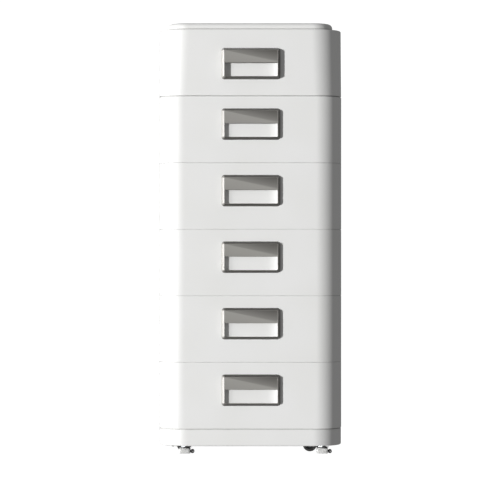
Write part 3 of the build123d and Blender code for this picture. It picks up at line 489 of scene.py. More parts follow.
class BatteryTowerSizes(bpy.types.PropertyGroup):
    """Sizes of the visible mouldings that the frame's boxes don't give."""

    shell_corner: length_property("Shell corner", "Corner radius of a battery shell", 77)
    seam_fillet: length_property("Seam fillet", "Edge rounding at the seams", 1.2)
    seat_inset: length_property("Seat inset", "How far a module's seat stands in", 8)
    seam_gap: length_property("Seam gap", "Shadow gap between battery modules", 0.5)
    wide_seam_gap: length_property("Wide seam gap", "Shadow gap over the plinth and under the top", 3)
    shell_depth: length_property("Shell depth", "Front to back over a battery shell", 380)
    control_depth: length_property("Control depth", "Front to back over the control shell", 372)
    control_top_width: length_property("Control top width", "Width at the control shell's top", 538)
    control_corner: length_property("Control corner", "Lower corner radius of the control shell", 83)
    control_top_corner: length_property("Control top corner", "Its corner radius at the top", 91)
    control_fillet: length_property("Control fillet", "Rounding of the control shell's top", 3.5)
    plinth_corner: length_property("Plinth corner", "Corner radius of the plinth", 86)
    plinth_fillet: length_property("Plinth fillet", "Rounding of the plinth's lower edge", 4.4)
    cap_corner: length_property("Cap corner", "Corner radius of the top cap", 62)
    cap_fillet: length_property("Cap fillet", "Rounding of the top cap's upper edge", 13)
    cap_foot_fillet: length_property("Cap foot fillet", "Rounding of the top cap's lower edge", 4.5)
    cap_neck: length_property("Cap neck", "How far the cap's neck stands in", 6)
    cap_neck_height: length_property("Cap neck height", "Height of that neck", 2)
    grip_offset: length_property("Grip offset", "Grip centre, right of the shell's centre", 2.2)
    grip_width: length_property("Grip width", "Width of the grip at the shell", 173)
    grip_corner: length_property("Grip corner", "Corner radius of the grip at the shell", 9)
    crown_width: length_property("Crown width", "Width of the grip's front edge", 158.6)
    crown_height: length_property("Crown height", "Height of the grip's front edge", 80)
    crown_shift: length_property("Crown shift", "Front edge's centre, right of the grip's", 0.55)
    crown_lift: length_property("Crown lift", "Front edge's centre, above the grip's", 0.5)
    window_width: length_property("Window width", "Width inside the grip's rim", 155.2)
    window_height: length_property("Window height", "Height inside the grip's rim", 76.6)
    hood_edge: length_property("Hood edge", "Hood's lower edge above the grip's middle", 1.6)
    hood_thickness: length_property("Hood thickness", "Thickness of the hood", 2.5)
    finger_width: length_property("Finger width", "Width of the pocket behind the hood", 140)
    finger_top: length_property("Finger top", "Pocket's top above the grip's middle", 34.6)
    pocket_depth: length_property("Pocket depth", "Depth of the pocket in the shell", 19)
    ramp_radius: length_property("Ramp radius", "Radius of the window's curved ends", 100)
    ramp_length: length_property("Ramp length", "Length of the window's curved ends", 30)
    foot_height: length_property("Foot height", "Height of a foot's light grey pad", 15)
    foot_radius: length_property("Foot radius", "Radius of that pad", 17)
    foot_corner: length_property("Foot corner", "Rounding of the pad's upright edges", 5)
    collar_foot: length_property("Collar foot", "Lower radius of the dark collar on a foot", 15.5)
    collar_height: length_property("Collar height", "Height of that collar", 4)
    foot_nut: length_property("Foot nut", "Half the width of a foot's nut across its flats", 11)
    foot_nut_height: length_property("Foot nut height", "Height of that nut", 6)
    knob_radius: length_property("Knob radius", "Radius of a foot's side knob", 6)
    knob_reach: length_property("Knob reach", "From a foot's stem to its knob", 23)
    knob_length: length_property("Knob length", "Front to back over that knob", 14)
    knob_level: length_property("Knob level", "Height of a foot's knob above the floor", 6.3)
    first_port: length_property("First port", "Nearest port, back from the tower's middle", 14)
    port_pitch: length_property("Port pitch", "Spacing of the ports", 26)
    port_drop: length_property("Port drop", "Ports below the bay's middle", 28)


class BatteryTowerColours(bpy.types.PropertyGroup):
    """Colours of the visible finishes."""

    shell_colour: colour_property("Shell", "White powder coat", "#F2F2F1")
    shell_shade: colour_property("Shell shade", "Its slightly deeper patches", "#EFEFED")
    grip_colour: colour_property("Grip", "Warm grey lacquer", "#B4B2AD")
    # painted shade: the grips' lacquer drawn darker where they stand in shade
    grip_painted_shade: colour_property("Grip shade", "Its deeper end", "#82807C")
    # painted shade on the grips' top, bottom and right slopes
    grip_painted_dark_shade: colour_property("Grip slope", "Its darkest slopes", "#403D38")
    # painted highlight up the grips' left slope
    grip_painted_highlight: colour_property("Grip light", "Its palest slope", "#F0EEEA")
    black_colour: colour_property("Black nylon", "Nuts, ports and lever", "#1F1F20")
    # painted shade: the grey of the rings that darken the wide seams
    seam_shade_colour: colour_property("Seals", "Pale grey silicone", "#CBCBC9")
    seam_shade_grain: colour_property("Seal shade", "Its deeper grain", "#C2C2C0")
    foot_colour: colour_property("Foot pads", "Light grey nylon", "#EEEEEC")


def settings():
    """The scene's sizes and colours."""
    return bpy.context.scene.battery_tower_sizes, bpy.context.scene.battery_tower_colours


FINISHES = {}


def finish_of(kind):
    """One finish, made the first time that a piece asks for it."""
    if kind.__name__ not in FINISHES:
        FINISHES[kind.__name__] = kind(settings()[1])
    return FINISHES[kind.__name__]


def add_skin(name, rings, kind, body, *nodes, loop=False, sharp_degrees=35):
    """A piece with a skin over a stack of rings, capped at both ends or looped back to the first
    ring, in the finish of that kind. It rides on its body and stands for the nodes given."""
    faces = looped_rings(rings) if loop else closed_rings(rings)
    piece = new_piece(name, rings, faces, finish_of(kind), sharp_degrees)
    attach(piece, body)
    if nodes:
        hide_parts(*nodes)
    return piece


def flat_ring(half_x, half_y, radius, level, shift=(0, 0), arc_steps=8):
    """A level ring round a rounded rectangle about the shift."""
    flat, _, _ = outline(half_x, half_y, radius, {}, arc_steps)
    return np.column_stack([flat + shift, np.full(len(flat), level)])


def repaint(node, kind):
    """Gives a carried-over node a finish."""
    finish = finish_of(kind)
    slots = NODES[node].material_slots
    if not slots:
        NODES[node].data.materials.append(finish)
    for material_slot in slots:
        material_slot.material = finish


# ---------------------------------------------------------------- pieces

def hole_rings(half_x, half_y, levels, stops):
    """Rings round a rectangular hole at the given heights."""
    flat, _, _ = outline(half_x, half_y, 1 * MM, stops)
    return [np.column_stack([flat, np.full(len(flat), level)]) for level in levels]


def dock_hole(levels, stops):
    """Rings round the hole that a dock's plug hangs through."""
    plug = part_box("control_dock")[1]
    return hole_rings(plug.x - PLUG_LEDGE, plug.y - PLUG_LEDGE, levels, stops)


def pocket_fields(pocket, bay=None):
    """The outside and inside height fields of a shell: finger pockets on the front and rear
    walls and, where given, a bay sunk into the right wall down to the bay's floor."""
    def outside(walls, along, level, half_x):
        push = np.where((walls == FRONT) | (walls == REAR), pocket.outside(along, level), 0)
        if bay:
            push = np.where((walls == RIGHT) & bay.covers(along, level, 0), bay.floor - half_x, push)
        return push

    def inside(walls, along, level, half_x):
        push = np.where((walls == FRONT) | (walls == REAR), pocket.inside(along, level), 0)
        if bay:
            push = np.where((walls == RIGHT) & bay.covers(along, level, WALL),
                            bay.floor - half_x, push)
        return push
    return outside, inside


def add_shade_ring(name, body, half, radius, inset, low, high):
    """Painted shade in a wide seam: a grey square ring that stands in from the shells' outline."""
    inner = inset + SHADE_RING_WIDTH
    rows = [(inner, low, 0), (inset, low, 0), (inset, high, 0), (inner, high, 0)]
    rings = shell_points(rows, lambda level: (*half, radius), {}, None, None)
    add_skin(name, rings, seam_shade_grey, body, loop=True)


def bay_floor():
    """X of the connection bay's floor."""
    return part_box("dc_terminals")[0].x + BAY_BURIED


class Bay:
    """The connection bay: a rectangle sunk into the right wall."""

    def __init__(self, centre, half_width, half_height, floor):
        self.centre, self.floor = centre, floor
        self.half_width, self.half_height = half_width, half_height
        edges = [half_width, half_width + CLEAR, half_width + WALL, half_width + WALL + CLEAR]
        self.stops = np.array(sorted([-e for e in edges] + [-40 * MM, 0, 40 * MM] + edges))
        edges = [half_height, half_height + CLEAR, half_height + WALL, half_height + WALL + CLEAR]
        self.levels = centre + np.array([-e for e in edges][::-1] + [0] + edges)

    def covers(self, along, level, grow):
        """Where the wall is sunk, the bay grown by a margin."""
        return ((np.abs(along) <= self.half_width + grow + SLACK)
                & (np.abs(level - self.centre) <= self.half_height + grow + SLACK))


class BATTERYTOWER_OT_battery_shells(bpy.types.Operator):
    """White shell of every battery module: rounded walls, seam edges, ledge, finger pockets"""

    bl_idname = "battery_tower.battery_shells"
    bl_label = "Battery Shells"

    def execute(self, context):
        sizes, _ = settings()
        for number in BATTERY_NUMBERS:
            node = f"battery_case_{number}"
            low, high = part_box(node)
            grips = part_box(f"battery_grips_{number}")
            pocket = Pocket(sizes, (grips[0].z + grips[1].z) / 2)
            stops = {FRONT: pocket.stops, REAR: pocket.stops}
            half_x, half_y = high.x, sizes.shell_depth / 2
            fillet = sizes.seam_fillet
            bottom, top = low.z + sizes.seam_gap, high.z
            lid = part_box(f"battery_lid_{number}")[0].z
            rows = [(FLOOR_REACH, low.z, 0), (sizes.seat_inset, low.z, 0), (sizes.seat_inset, bottom, 0)]
            rows += [(*row, 0) for row in fillet_rows(fillet, bottom + fillet, fillet, -90, 0)]
            rows += [(0, level, 1) for level in pocket.levels]
            rows += [(*row, 0) for row in fillet_rows(fillet, top - fillet, fillet, 0, 90)]
            ledge, ledge_foot = 2.5 * WALL, lid - 1.5 * WALL
            rows += [(WALL, top, 0), (WALL, lid, 0), (ledge, lid, 0), (ledge, ledge_foot, 0),
                     (WALL, ledge_foot, 0)]
            rows += [(WALL, level, -1) for level in pocket.levels[::-1]]
            rows += [(WALL, low.z + WALL, 0), (FLOOR_REACH, low.z + WALL, 0)]
            rings = shell_points(rows, lambda level: (half_x, half_y, sizes.shell_corner), stops,
                                 *pocket_fields(pocket))
            rings = np.concatenate([rings, dock_hole([low.z + WALL, low.z], stops)])
            add_skin(f"battery_shell_{number}", rings, powder_coat_white, f"battery_{number}", node,
                     loop=True)
        return {"FINISHED"}


class BATTERYTOWER_OT_control_shell(bpy.types.Operator):
    """Tapered control shell with its finger pockets and the connection bay in its right wall"""

    bl_idname = "battery_tower.control_shell"
    bl_label = "Control Shell"

    def execute(self, context):
        sizes, _ = settings()
        low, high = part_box("control_case")
        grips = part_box("control_grips")
        pocket = Pocket(sizes, (grips[0].z + grips[1].z) / 2)
        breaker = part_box("main_breaker")
        bay = Bay((breaker[0].z + breaker[1].z) / 2, BAY_HALF_WIDTH, BAY_HALF_HEIGHT, bay_floor())
        stops = {FRONT: pocket.stops, REAR: pocket.stops, RIGHT: bay.stops}
        bottom, top = low.z + sizes.wide_seam_gap, high.z
        fillet, crown = sizes.seam_fillet, sizes.control_fillet

        def size_at(level):
            share = min(max((level - bottom) / (top - bottom), 0), 1)
            radius = sizes.control_corner + share * (sizes.control_top_corner - sizes.control_corner)
            half_x = high.x + share * (sizes.control_top_width / 2 - high.x)
            return half_x, sizes.control_depth / 2, radius

        levels = np.array(sorted([*pocket.levels, *bay.levels]))
        rows = [(CONTROL_REACH, low.z, 0), (sizes.seat_inset, low.z, 0), (sizes.seat_inset, bottom, 0)]
        rows += [(*row, 0) for row in fillet_rows(fillet, bottom + fillet, fillet, -90, 0)]
        rows += [(0, level, 1) for level in levels]
        rows += [(*row, 0) for row in fillet_rows(crown, top - crown, crown, 0, 90, 10)]
        rows += [(TOP_REACH, top, 0), (TOP_REACH, top - WALL, 0), (WALL + 1 * MM, top - WALL, 0)]
        rows += [(WALL, level, -1) for level in levels[::-1]]
        floor = bottom + WALL
        rows += [(WALL, floor, 0), (CONTROL_REACH, floor, 0)]
        rings = shell_points(rows, size_at, stops, *pocket_fields(pocket, bay))
        rings = np.concatenate([rings, dock_hole([floor, low.z], stops)])
        add_skin("control_shell", rings, powder_coat_white, "control", "control_case", loop=True)
        # a grey ring under the control shell, painted shade in the wide seam
        add_shade_ring("control_seam_shade", "control", (high.x, sizes.control_depth / 2), sizes.control_corner,
                 sizes.seat_inset - SHADE_RING_DEPTH, low.z + CLEAR, bottom + SHADE_RING_HIDDEN)
        return {"FINISHED"}


class BATTERYTOWER_OT_plinth_shell(bpy.types.Operator):
    """Plinth shell, open below, with a rolled lower lip and the raised seat"""

    bl_idname = "battery_tower.plinth_shell"
    bl_label = "Plinth Shell"

    def execute(self, context):
        sizes, _ = settings()
        low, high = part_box("plinth")
        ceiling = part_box("chassis")[1].z
        rim = high.z - sizes.wide_seam_gap + sizes.seam_gap
        fillet, lip = sizes.seam_fillet, sizes.plinth_fillet
        inner = lip + 1 * MM
        rows = [(FLOOR_REACH, ceiling, 0), (inner, ceiling, 0), (inner, low.z + 1 * MM, 0),
                (inner - 1 * MM, low.z, 0)]
        rows += [(*row, 0) for row in fillet_rows(lip, low.z + lip, lip, -90, 0, 8)]
        rows += [(*row, 0) for row in fillet_rows(fillet, rim - fillet, fillet, 0, 90)]
        seat = sizes.seat_inset - (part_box("battery_case_1")[1].x - high.x)
        rows += [(seat, rim, 0), (seat, high.z, 0), (FLOOR_REACH, high.z, 0)]
        rings = shell_points(rows, lambda level: (high.x, high.y, sizes.plinth_corner), {}, None, None)
        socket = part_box("base_dock")[1]
        hole = hole_rings(socket.x + CLEAR, socket.y + CLEAR, [high.z, ceiling], {})
        rings = np.concatenate([rings, hole])
        add_skin("plinth_shell", rings, powder_coat_white, "base", "plinth", loop=True)
        # a grey ring over the plinth, painted shade in the wide seam
        add_shade_ring("plinth_seam_shade", "base", (high.x, high.y), sizes.plinth_corner, seat - SHADE_RING_DEPTH,
                 rim - SHADE_RING_HIDDEN, high.z)
        return {"FINISHED"}


class BATTERYTOWER_OT_top_plate(bpy.types.Operator):
    """Top cap: a thin rounded plate on a narrow neck, hollow below, with its locating lip"""

    bl_idname = "battery_tower.top_plate"
    bl_label = "Top Plate"

    def execute(self, context):
        sizes, _ = settings()
        low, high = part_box("top_cap")
        seat, lip, neck = low.z + WALL, CAP_LIP, sizes.cap_neck
        fillet, foot = sizes.cap_fillet, sizes.cap_foot_fillet
        plate = seat + sizes.cap_neck_height
        rows = [(FLOOR_REACH, high.z - WALL, 0), (lip + WALL, high.z - WALL, 0), (lip + WALL, low.z, 0),
                (lip, low.z, 0), (lip, seat, 0), (neck, seat, 0), (neck, plate, 0)]
        rows += [(*row, 0) for row in fillet_rows(foot, plate + foot, foot, -90, 0)]
        rows += [(*row, 0) for row in fillet_rows(fillet, high.z - fillet, fillet, 0, 90, 12)]
        rows += [(FLOOR_REACH, high.z, 0)]
        rings = shell_points(rows, lambda level: (high.x, high.y, sizes.cap_corner), {}, None, None)
        add_skin("top_plate", rings, powder_coat_white, "control", "top_cap")
        # a grey ring round the cap's neck, painted shade in the seam under the cap
        add_shade_ring("cap_seam_shade", "control", (high.x, high.y), sizes.cap_corner, CAP_SHADE_RING_INSET,
                 seat + CLEAR, plate + CAP_SHADE_RING_SHARE * foot)
        return {"FINISHED"}


def on_wall(points, rear, wall_y, height, offset):
    """Points from a grip's own (right, up, out) coordinates to the front or rear wall."""
    right, up, out = points[..., 0] + offset, points[..., 1], points[..., 2]
    turn = -1 if rear else 1
    return np.stack([turn * right, -turn * (wall_y + out), height + up], -1)


def surround_points(sizes, height, standoff):
    """A grip's surround: rings of rounded rectangles that narrow up the slope, cross the rim and
    go down the window's inner wall."""
    half = (sizes.grip_width / 2, height / 2)
    crown = (sizes.crown_width / 2, sizes.crown_height / 2)
    window = (sizes.window_width / 2, sizes.window_height / 2)

    def ring(share, out, inner=False, grow=0.0):
        size = window if inner else [h + share * (c - h) for h, c in zip(half, crown)]
        radius = 3 * MM if inner else sizes.grip_corner + share * (4 * MM - sizes.grip_corner)
        share = 1 if inner else share
        shift = (sizes.crown_shift * share, sizes.crown_lift * share)
        return flat_ring(size[0] + grow, size[1] + grow, radius + grow, out, shift)

    edge = 0.4 * MM
    return np.array([ring(0, 0), ring(0.35, 0.37 * standoff), ring(0.7, 0.73 * standoff),
                     ring(0.96, standoff - edge), ring(1, standoff, grow=-edge / 2),
                     ring(1, standoff, True, edge / 2), ring(1, standoff - edge, True),
                     ring(1, 0, True)])


def surround_tones(rings):
    """How light a surround's lacquer is drawn at each point of its rings, as painted light and
    shade: the slope's rings from the square of the outward direction's sideways share, a painted
    highlight up the left slope, painted shade on the right one and the darkest painted shade
    above and below; the window's wall is even."""
    along = np.roll(rings, -1, 1) - np.roll(rings, 1, 1)
    right = along[..., 1] / np.maximum(np.hypot(along[..., 0], along[..., 1]), 1e-9)
    # painted highlight up the left slope, growing towards the rim; painted shade on the other slopes
    pale = np.interp(np.arange(len(rings)), (0, SLOPE_RINGS - 2), (PLAIN_TONE, PAINTED_HIGHLIGHT_TONE))
    tones = np.where(right < 0, pale[:, None], PAINTED_SHADE_TONE / 2) * right**2
    tones[SLOPE_RINGS:] = PLAIN_TONE
    return tones


def hood_points(sizes, standoff, columns=28, rows=6):
    """A grip's hood: a closed section swept from left to right. Its front is two flat facets
    that meet along the diagonal from upper left to lower right, the far upper corner set back.
    Returns the points and, for each, its painted shade: the half above the crease drawn darker, both
    halves darkening away from the crease, and the back of the hood darker."""
    left, right = (sizes.crown_shift + side * sizes.window_width / 2 for side in (-1, 1))
    foot, top = sizes.hood_edge, sizes.crown_lift + sizes.window_height / 2
    height = top - foot
    front = standoff - 0.5 * MM
    back = front - sizes.hood_thickness
    lip, lean = 1.2 * MM, 3.2 * MM
    share = np.linspace(0, 1, columns + 1)[:, None]
    climb = np.linspace(0, 1, rows + 1)[None]
    crease = top - 0.3 * MM - share * (height - 1.8 * MM)
    low_facet = foot + lip + climb * (crease - foot - lip)
    high_facet = crease + climb[:, 1:] * (top - crease)
    set_back = lean * (high_facet - crease) / height
    level = 0 * share
    up = np.concatenate([low_facet, high_facet, level + top, level + foot + 4 * MM,
                         level + foot + 0.6 * MM, level + foot + 0.05 * MM], 1)
    out = np.concatenate([front + 0 * low_facet, front - set_back, level + back - lean, level + back,
                          level + back, level + front - 0.9 * MM], 1)
    along = left + share * (right - left) + 0 * up
    # painted shade: each half of the front darkens away from the crease, and the back of the hood is drawn
    # darker
    tones = np.concatenate([PLAIN_TONE - LOW_SHADE_FADE * (crease - low_facet) / height,
                            CREASE_SHADE_TONE - HIGH_SHADE_FADE * (high_facet - crease) / height,
                            HOOD_BACK_SHADE_TONE + 0 * up[:, -4:]], 1)
    return np.stack([along, up, out], -1), tones


def set_painted_shading(piece, values):
    """Stores the painted shade and painted highlight of the lacquer at each point, for the material."""
    layer = piece.data.attributes.new("painted_shading", "FLOAT", "POINT")
    layer.data.foreach_set("value", np.asarray(values, np.float32).ravel())


class BATTERYTOWER_OT_grips(bpy.types.Operator):
    """Front and rear grips of every module: sloped surround and creased hood"""

    bl_idname = "battery_tower.grips"
    bl_label = "Grips"

    def execute(self, context):
        sizes, _ = settings()
        modules = [(f"battery_{n}", f"battery_grips_{n}", sizes.shell_depth) for n in BATTERY_NUMBERS]
        modules.append(("control", "control_grips", sizes.control_depth))
        for body, node, depth in modules:
            low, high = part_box(node)
            standoff = high.y - depth / 2
            middle = (low.z + high.z) / 2
            for side, rear in (("front", False), ("rear", True)):
                where = (rear, depth / 2, middle, sizes.grip_offset)
                points = surround_points(sizes, high.z - low.z, standoff)
                rings = on_wall(points, *where)
                grip = add_skin(f"{body}_{side}_grip", rings, satin_grey_paint, body, node, loop=True)
                set_painted_shading(grip, surround_tones(points))
                points, tones = hood_points(sizes, standoff)
                rings = on_wall(points, *where)
                hood = add_skin(f"{body}_{side}_hood", rings, satin_grey_paint, body, node,
                                sharp_degrees=3)
                set_painted_shading(hood, tones)
        return {"FINISHED"}


def foot_axis(corner):
    """A levelling foot's axis (x, y), the way its knob points along X, its collar's upper radius
    and its stem's top."""
    low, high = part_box(f"levelling_foot_{corner}")
    radius = (high.y - low.y) / 2
    way = -1 if corner.startswith("rear") else 1
    x = low.x + radius if way > 0 else high.x - radius
    return x, (low.y + high.y) / 2, way, radius, high.z


def threaded(radius, depth, pitch, low, high):
    """A screw's outline as (radius, height) rows: V-shaped rings a pitch apart, which stand for
    its thread."""
    turns = int((high - low) / pitch)
    heights = low + np.arange(2 * turns + 1) * pitch / 2
    return [(radius - (depth if row % 2 else 0), height) for row, height in enumerate(heights)]


class BATTERYTOWER_OT_feet(bpy.types.Operator):
    """Levelling feet: grooved pad, dark flared collar, nut, threaded stem and side knob"""

    bl_idname = "battery_tower.feet"
    bl_label = "Levelling Feet"

    def execute(self, context):
        sizes, _ = settings()
        for corner in CORNERS:
            body, node = f"foot_{corner}", f"levelling_foot_{corner}"
            x, y, way, edge, top = foot_axis(corner)
            radius, height = sizes.foot_radius, sizes.foot_height
            groove, soft = 0.8 * MM, 1.2 * MM
            rows = [(2 * soft, 0), (soft / 3, soft / 3), (0, soft), (0, 0.36 * height),
                    (groove, 0.4 * height), (groove, 0.46 * height), (0, 0.5 * height),
                    (0, height - soft), (soft / 3, height - soft / 3), (soft, height)]
            square, _, _ = outline(radius, radius, sizes.foot_corner, {}, 8)
            rings = np.array([np.column_stack([square * (1 - inset / radius) + (x, y),
                                               np.full(len(square), level)]) for inset, level in rows])
            add_skin(f"foot_pad_{corner}", rings, foot_nylon, body, node)
            low_edge, rim = sizes.collar_foot, height + sizes.collar_height
            boss = rim - 0.45 * sizes.collar_height
            rings = revolve([(low_edge - soft, height - soft / 2), (low_edge, height + soft / 3),
                             (low_edge, boss)], (x, y, 0), 64)
            add_skin(f"foot_boss_{corner}", rings, foot_nylon, body, node)
            lip = 0.4 * MM
            profile = [(low_edge, boss), (low_edge + lip, boss), (edge - lip, rim - 2 * lip),
                       (edge, rim - lip), (edge - lip, rim), (12 * MM, rim), (11.4 * MM, rim - lip)]
            rings = revolve(profile, (x, y, 0), 64)
            add_skin(f"foot_collar_{corner}", rings, moulded_black, body, node)
            add_nut(f"foot_nut_{corner}", (x, y, rim), sizes.foot_nut, sizes.foot_nut_height, body, node)
            start = rim + sizes.foot_nut_height - 1 * MM
            rings = revolve(threaded(STEM_RADIUS, THREAD_DEPTH, THREAD_PITCH, start, top), (x, y, 0), 32)
            add_skin(f"foot_stem_{corner}", rings, zinc_plate, body, node, sharp_degrees=80)
            self.add_knob(body, node, corner, x, y, way)
        return {"FINISHED"}

    def add_knob(self, body, node, corner, x, y, way):
        """Adjusting knob on a lug beside the pad: fluted dark rim round a lighter face."""
        sizes, _ = settings()
        radius, half = sizes.knob_radius, sizes.knob_length / 2
        centre = (x + way * sizes.knob_reach, y, sizes.knob_level)
        profile = [(0.62 * radius, -half), (0.9 * radius, -half), (radius, -half + 0.6 * MM),
                   (radius, half - 0.6 * MM), (0.9 * radius, half), (0.62 * radius, half),
                   (0.62 * radius, half - 1 * MM)]
        flutes = 1 - 0.05 * (np.arange(KNOB_POINTS) % 4 < 2)
        rings = revolve(profile, centre, KNOB_POINTS, "Y", flutes)
        add_skin(f"foot_knob_{corner}", rings, moulded_black, body, node)
        profile = [(0.6 * radius, -half - CLEAR), (0.6 * radius, half + CLEAR)]
        rings = revolve(profile, centre, 32, "Y")
        add_skin(f"foot_knob_pin_{corner}", rings, foot_nylon, body, node)
        reach = sizes.knob_reach / 2
        rings = np.array([flat_ring(reach, 2.5 * MM, 1 * MM, level, (x + way * reach, y), 4)
                          for level in (3 * MM, 9 * MM)])
        add_skin(f"foot_lug_{corner}", rings, moulded_black, body, node)


def add_nut(name, centre, half_width, height, body, *nodes, axis="Z"):
    """A hexagon nut standing on its centre point: six flats with chamfered corners, where the
    hexagon's radius at an angle is cut back to a cone's near each end."""
    angle = np.linspace(0, 2 * math.pi, 48, endpoint=False)
    sector = (angle + math.pi / 6) % (math.pi / 3) - math.pi / 6
    flats = half_width / np.cos(sector)
    rings = []
    for cap, share in [(1.0, 0), (1.08, 0.1), (1.16, 0.2), (1.16, 0.8), (1.08, 0.9), (1.0, 1)]:
        radius = np.minimum(flats, cap * half_width)
        rings.append(np.stack([radius * np.cos(angle), radius * np.sin(angle),
                               np.full(len(angle), share * height)], -1))
    rings = lay_along(np.array(rings), axis) + np.asarray(centre)
    add_skin(name, rings, zinc_plate, body, *nodes, sharp_degrees=25)


class BATTERYTOWER_OT_casters(bpy.types.Operator):
    """Casters: tyre with rounded tread, dished hub, and plated forks with axle rivets"""

    bl_idname = "battery_tower.casters"
    bl_label = "Casters"

    def execute(self, context):
        for corner in CORNERS:
            node, body = f"caster_wheel_{corner}", f"wheel_{corner}"
            low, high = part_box(node)
            centre = (np.array(low) + np.array(high)) / 2
            radius, half = (high.z - low.z) / 2, (high.y - low.y) / 2
            rim, shoulder = 0.66 * radius, 3 * MM
            profile = [(rim, half - 1.2 * MM), (rim + 1 * MM, half), (radius - shoulder, half)]
            profile += [(radius - shoulder * (1 - math.sin(a)), half - shoulder * (1 - math.cos(a)))
                        for a in np.linspace(0.2, math.pi / 2, 7)]
            profile = profile + [(r, -h) for r, h in profile[::-1]]
            rings = revolve(profile[::-1], centre, 72, "Y")
            add_skin(f"caster_tyre_{corner}", rings, wheel_rubber, body, node, loop=True,
                     sharp_degrees=40)
            bore, web = 3.3 * MM, 0.35 * half
            profile = [(bore, -half), (7 * MM, -half), (7.4 * MM, -web), (rim - 1.4 * MM, -web),
                       (rim - 1 * MM, -half + 1.4 * MM), (rim, -half + 1.2 * MM)]
            profile = profile + [(r, -h) for r, h in profile[::-1]]
            rings = revolve(profile, centre, 72, "Y")
            add_skin(f"caster_hub_{corner}", rings, moulded_black, body, node, loop=True)
            repaint(f"caster_fork_{corner}", zinc_plate)
            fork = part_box(f"caster_fork_{corner}")
            profile = [(4.6 * MM, 0), (4.6 * MM, 0.8 * MM), (3.4 * MM, 1.6 * MM), (1.6 * MM, 2 * MM)]
            cap = revolve(profile, (0, 0, 0), 32, "Y")
            mirrored = cap[:, ::-1] * (1, -1, 1)
            for side, rings, y in (("near", mirrored, fork[0].y - CLEAR), ("far", cap, fork[1].y + CLEAR)):
                add_skin(f"caster_rivet_{side}_{corner}", rings + (centre[0], y, centre[2]), zinc_plate,
                         f"swivel_{corner}")
        return {"FINISHED"}


class BATTERYTOWER_OT_connection_bay(bpy.types.Operator):
    """Connection bay: gasket, breaker, lever, button, cable studs with nuts, and port caps"""

    bl_idname = "battery_tower.connection_bay"
    bl_label = "Connection Bay"

    def execute(self, context):
        repaint("main_breaker", breaker_plastic)
        repaint("breaker_lever", moulded_black)
        repaint("power_button", polished_steel)
        repaint("dc_terminals", nickelled_brass)
        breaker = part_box("main_breaker")
        centre = (breaker[0].z + breaker[1].z) / 2
        floor = bay_floor()
        rows = [(0, 3, 0), (0, 3, 1.8), (0.8, 3, 2.4), (2.4, 5, 2.4), (3, 5, 1.8), (3, 5, 0)]
        rings = [flat_ring(BAY_HALF_WIDTH - inset * MM, BAY_HALF_HEIGHT - inset * MM, radius * MM,
                           (out + 0.05) * MM, (0, centre)) for inset, radius, out in rows]
        rings = lay_along(np.array(rings), "X") + (floor, 0, 0)
        add_skin("bay_gasket", rings, moulded_black, "control", loop=True)
        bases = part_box("dc_terminals")
        span = (bases[0].y + bases[1].y) / 2
        reach = (bases[1].y - bases[0].y) / 2 - 13 * MM
        middle = (bases[0].z + bases[1].z) / 2
        for mark, y in (("a", span - reach), ("b", span + reach)):
            rows = [(13.4, 0), (13.4, 2.6), (12.8, 3.3), (7.4, 3.3), (7.0, 2.9)]
            rings = [flat_ring(half * MM, half * MM, 3 * MM, out * MM, (y, middle), 6)
                     for half, out in rows]
            rings = lay_along(np.array(rings), "X") + (floor, 0, 0)
            add_skin(f"terminal_base_{mark}", rings, moulded_black, "control")
            add_nut(f"terminal_nut_{mark}", (floor + 3.3 * MM, y, middle), 6.5 * MM, 4.5 * MM,
                    "control", axis="X")
        self.add_port_caps(floor)
        return {"FINISHED"}

    def add_port_caps(self, floor):
        """Knurled dust caps on the round ports: ridges round a slightly domed cap."""
        sizes, _ = settings()
        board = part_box("control_board")
        height = (board[0].z + board[1].z) / 2 - sizes.port_drop
        end = board[1].x + 0.6 * MM
        for number in range(3):
            y = sizes.first_port + number * sizes.port_pitch
            radius = 9.4 * MM
            profile = [(radius, floor + CLEAR), (radius, end - 1.6 * MM),
                       (radius - 0.5 * MM, end - 0.6 * MM), (radius - 1.6 * MM, end),
                       (0.5 * radius, end + CLEAR)]
            ridges = 1 - 0.045 * (np.arange(CAP_POINTS) % 3 == 0)
            flutes = np.where(np.arange(len(profile))[:, None] < 3, ridges, 1)
            rings = revolve(profile, (0, y, height), CAP_POINTS, "X", flutes)
            add_skin(f"port_cap_{number + 1}", rings, moulded_black, "control", sharp_degrees=50)


class BATTERYTOWER_OT_inner_parts(bpy.types.Operator):
    """Finishes of the frame parts that keep their own shape: chassis, docks, lids, cells"""

    bl_idname = "battery_tower.inner_parts"
    bl_label = "Inner Parts"

    def execute(self, context):
        for node, kind in (("chassis", zinc_plate), ("base_dock", moulded_black),
                           ("control_dock", moulded_black), ("control_board", solder_mask),
                           ("contactors", moulded_black)):
            repaint(node, kind)
        for number in BATTERY_NUMBERS:
            repaint(f"battery_lid_{number}", lid_paint)
            repaint(f"cells_{number}", cell_film)
            repaint(f"busbars_{number}", bare_copper)
            repaint(f"bms_board_{number}", solder_mask)
            repaint(f"battery_dock_{number}", moulded_black)
        return {"FINISHED"}


# ---------------------------------------------------------------- studio

ROOM_RADIUS, ROOM_POINTS = 13, 96       # of the round room, in metres, and points round it
KEY_ENERGY, KEY_SPREAD, KEY_AZIMUTH = 3.38, 2.5, 49.5       # the last two in degrees
EDGE_ENERGY, EDGE_SPREAD, EDGE_AZIMUTH = 0.6, 8, 100
LIGHT_ELEVATION = 1                     # of both lights, in degrees
FILL_STRENGTH = 0.19
CAMERA_DISTANCE, CAMERA_HEIGHT = 6.988, 0.602   # in metres, from the frame's front and the floor
CAMERA_SHIFT = -0.5 * MM
CAMERA_LENS = 171.8


